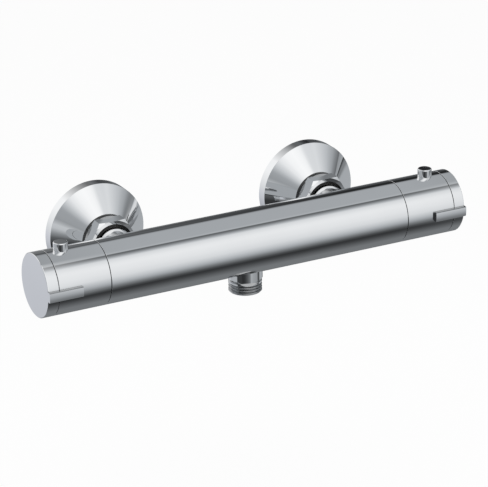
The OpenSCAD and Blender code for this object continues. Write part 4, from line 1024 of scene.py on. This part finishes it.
# %% [markdown]
# The solids carry plain cylinders where the threads are. That skin is cut out of a copy of the solid, and the
# thread is a piece of its own in the gap. The flats on the neck of the hose outlet are shaded a little
# rounded, because a buffing wheel never leaves them quite flat, and the shoulder below them gets the greyer
# finish as painted shade. The wall hides the studs in use, so the chrome in front doesn't mirror them.

# %% Room for a thread, and buffed flats
CUT_GAP = 0.0001 * MM
HAIR = 0.001 * MM
SKIN = 0.02 * MM
UPRIGHT, OUTSIDE = 0.01, 0.5


def open_band(bm, line, radius, low, high):
    """Cuts the outer skin of one radius between two heights out of a solid."""
    origin, direction = line
    for height in (low, high):
        bmesh.ops.bisect_plane(
            bm, geom=bm.verts[:] + bm.edges[:] + bm.faces[:], plane_co=origin + direction * height,
            plane_no=direction, dist=CUT_GAP,
        )
    gone = []
    for face in bm.faces:
        heights = [(v.co - origin) @ direction for v in face.verts]
        radii = [((v.co - origin) - direction * h).length for v, h in zip(face.verts, heights)]
        inside = min(heights) > low - HAIR and max(heights) < high + HAIR
        if inside and min(radii) > radius - SKIN and max(radii) < radius + SKIN:
            gone.append(face)
    bmesh.ops.delete(bm, geom=gone, context="FACES")
    return len(gone)


def buff(mesh, line):
    """Shades the flats around a line as a buffing wheel leaves them, a little rounded."""
    origin, direction = line
    normals = [corner.vector.copy() for corner in mesh.corner_normals]
    for poly in mesh.polygons:
        for corner in poly.loop_indices:
            away = mesh.vertices[mesh.loops[corner].vertex_index].co - origin
            outward = (away - direction * (away @ direction)).normalized()
            if abs(poly.normal @ direction) < UPRIGHT and poly.normal @ outward > OUTSIDE:
                normals[corner] = outward
    mesh.normals_split_custom_set(normals)


def threaded(name, node, lines, line, low, high, finish):
    """Dresses a solid that has a thread between two heights of a line, and gives both pieces."""
    bm = solid_of(node)
    removed = open_band(bm, line, THREAD_R, low, high)
    mesh = close_mesh(name, bm)
    polish(mesh, lines)
    screw = mesh_by_nodes(name + "_thread", thread_tree, finish, {"Length": high - low})
    place_on_line(screw, line[0] + line[1] * low, line[1])
    print(name, removed, "faces cut away; thread of", round((high - low) / PIPE_PITCH, 2), "turns")
    return [dress(name, mesh, [node]), dress(name + "_thread", screw, [node])]


# %% Hose outlet and wall unions with their threads
HOSE_THREAD = (0.7 * MM, 6.3 * MM)
WALL_THREAD = (0.5 * MM, 15.4 * MM)
SHOULDER_UP = 0.5
foot = Vector(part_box("outlet_nipple")[0]).z - hose.z
low, high = (foot + height for height in HOSE_THREAD)
outlet = threaded("hose_nipple", "outlet_nipple", [hose_line], hose_line, low, high, "cut_and_painted_shade_chrome")
nipple = outlet[0].data
buff(nipple, hose_line)
# Painted shade: the upward shoulder below the flats takes the greyer finish
cut_faces(nipple, "cut_and_painted_shade_chrome", lambda poly: poly.normal.z > SHOULDER_UP)
for supply, side, line, wall_line in SUPPLIES:
    name, node = "wall_union_" + side, "wall_union_" + supply
    for piece in threaded(name, node, [line, wall_line], wall_line, *WALL_THREAD, "raw_brass"):
        piece.visible_glossy = False
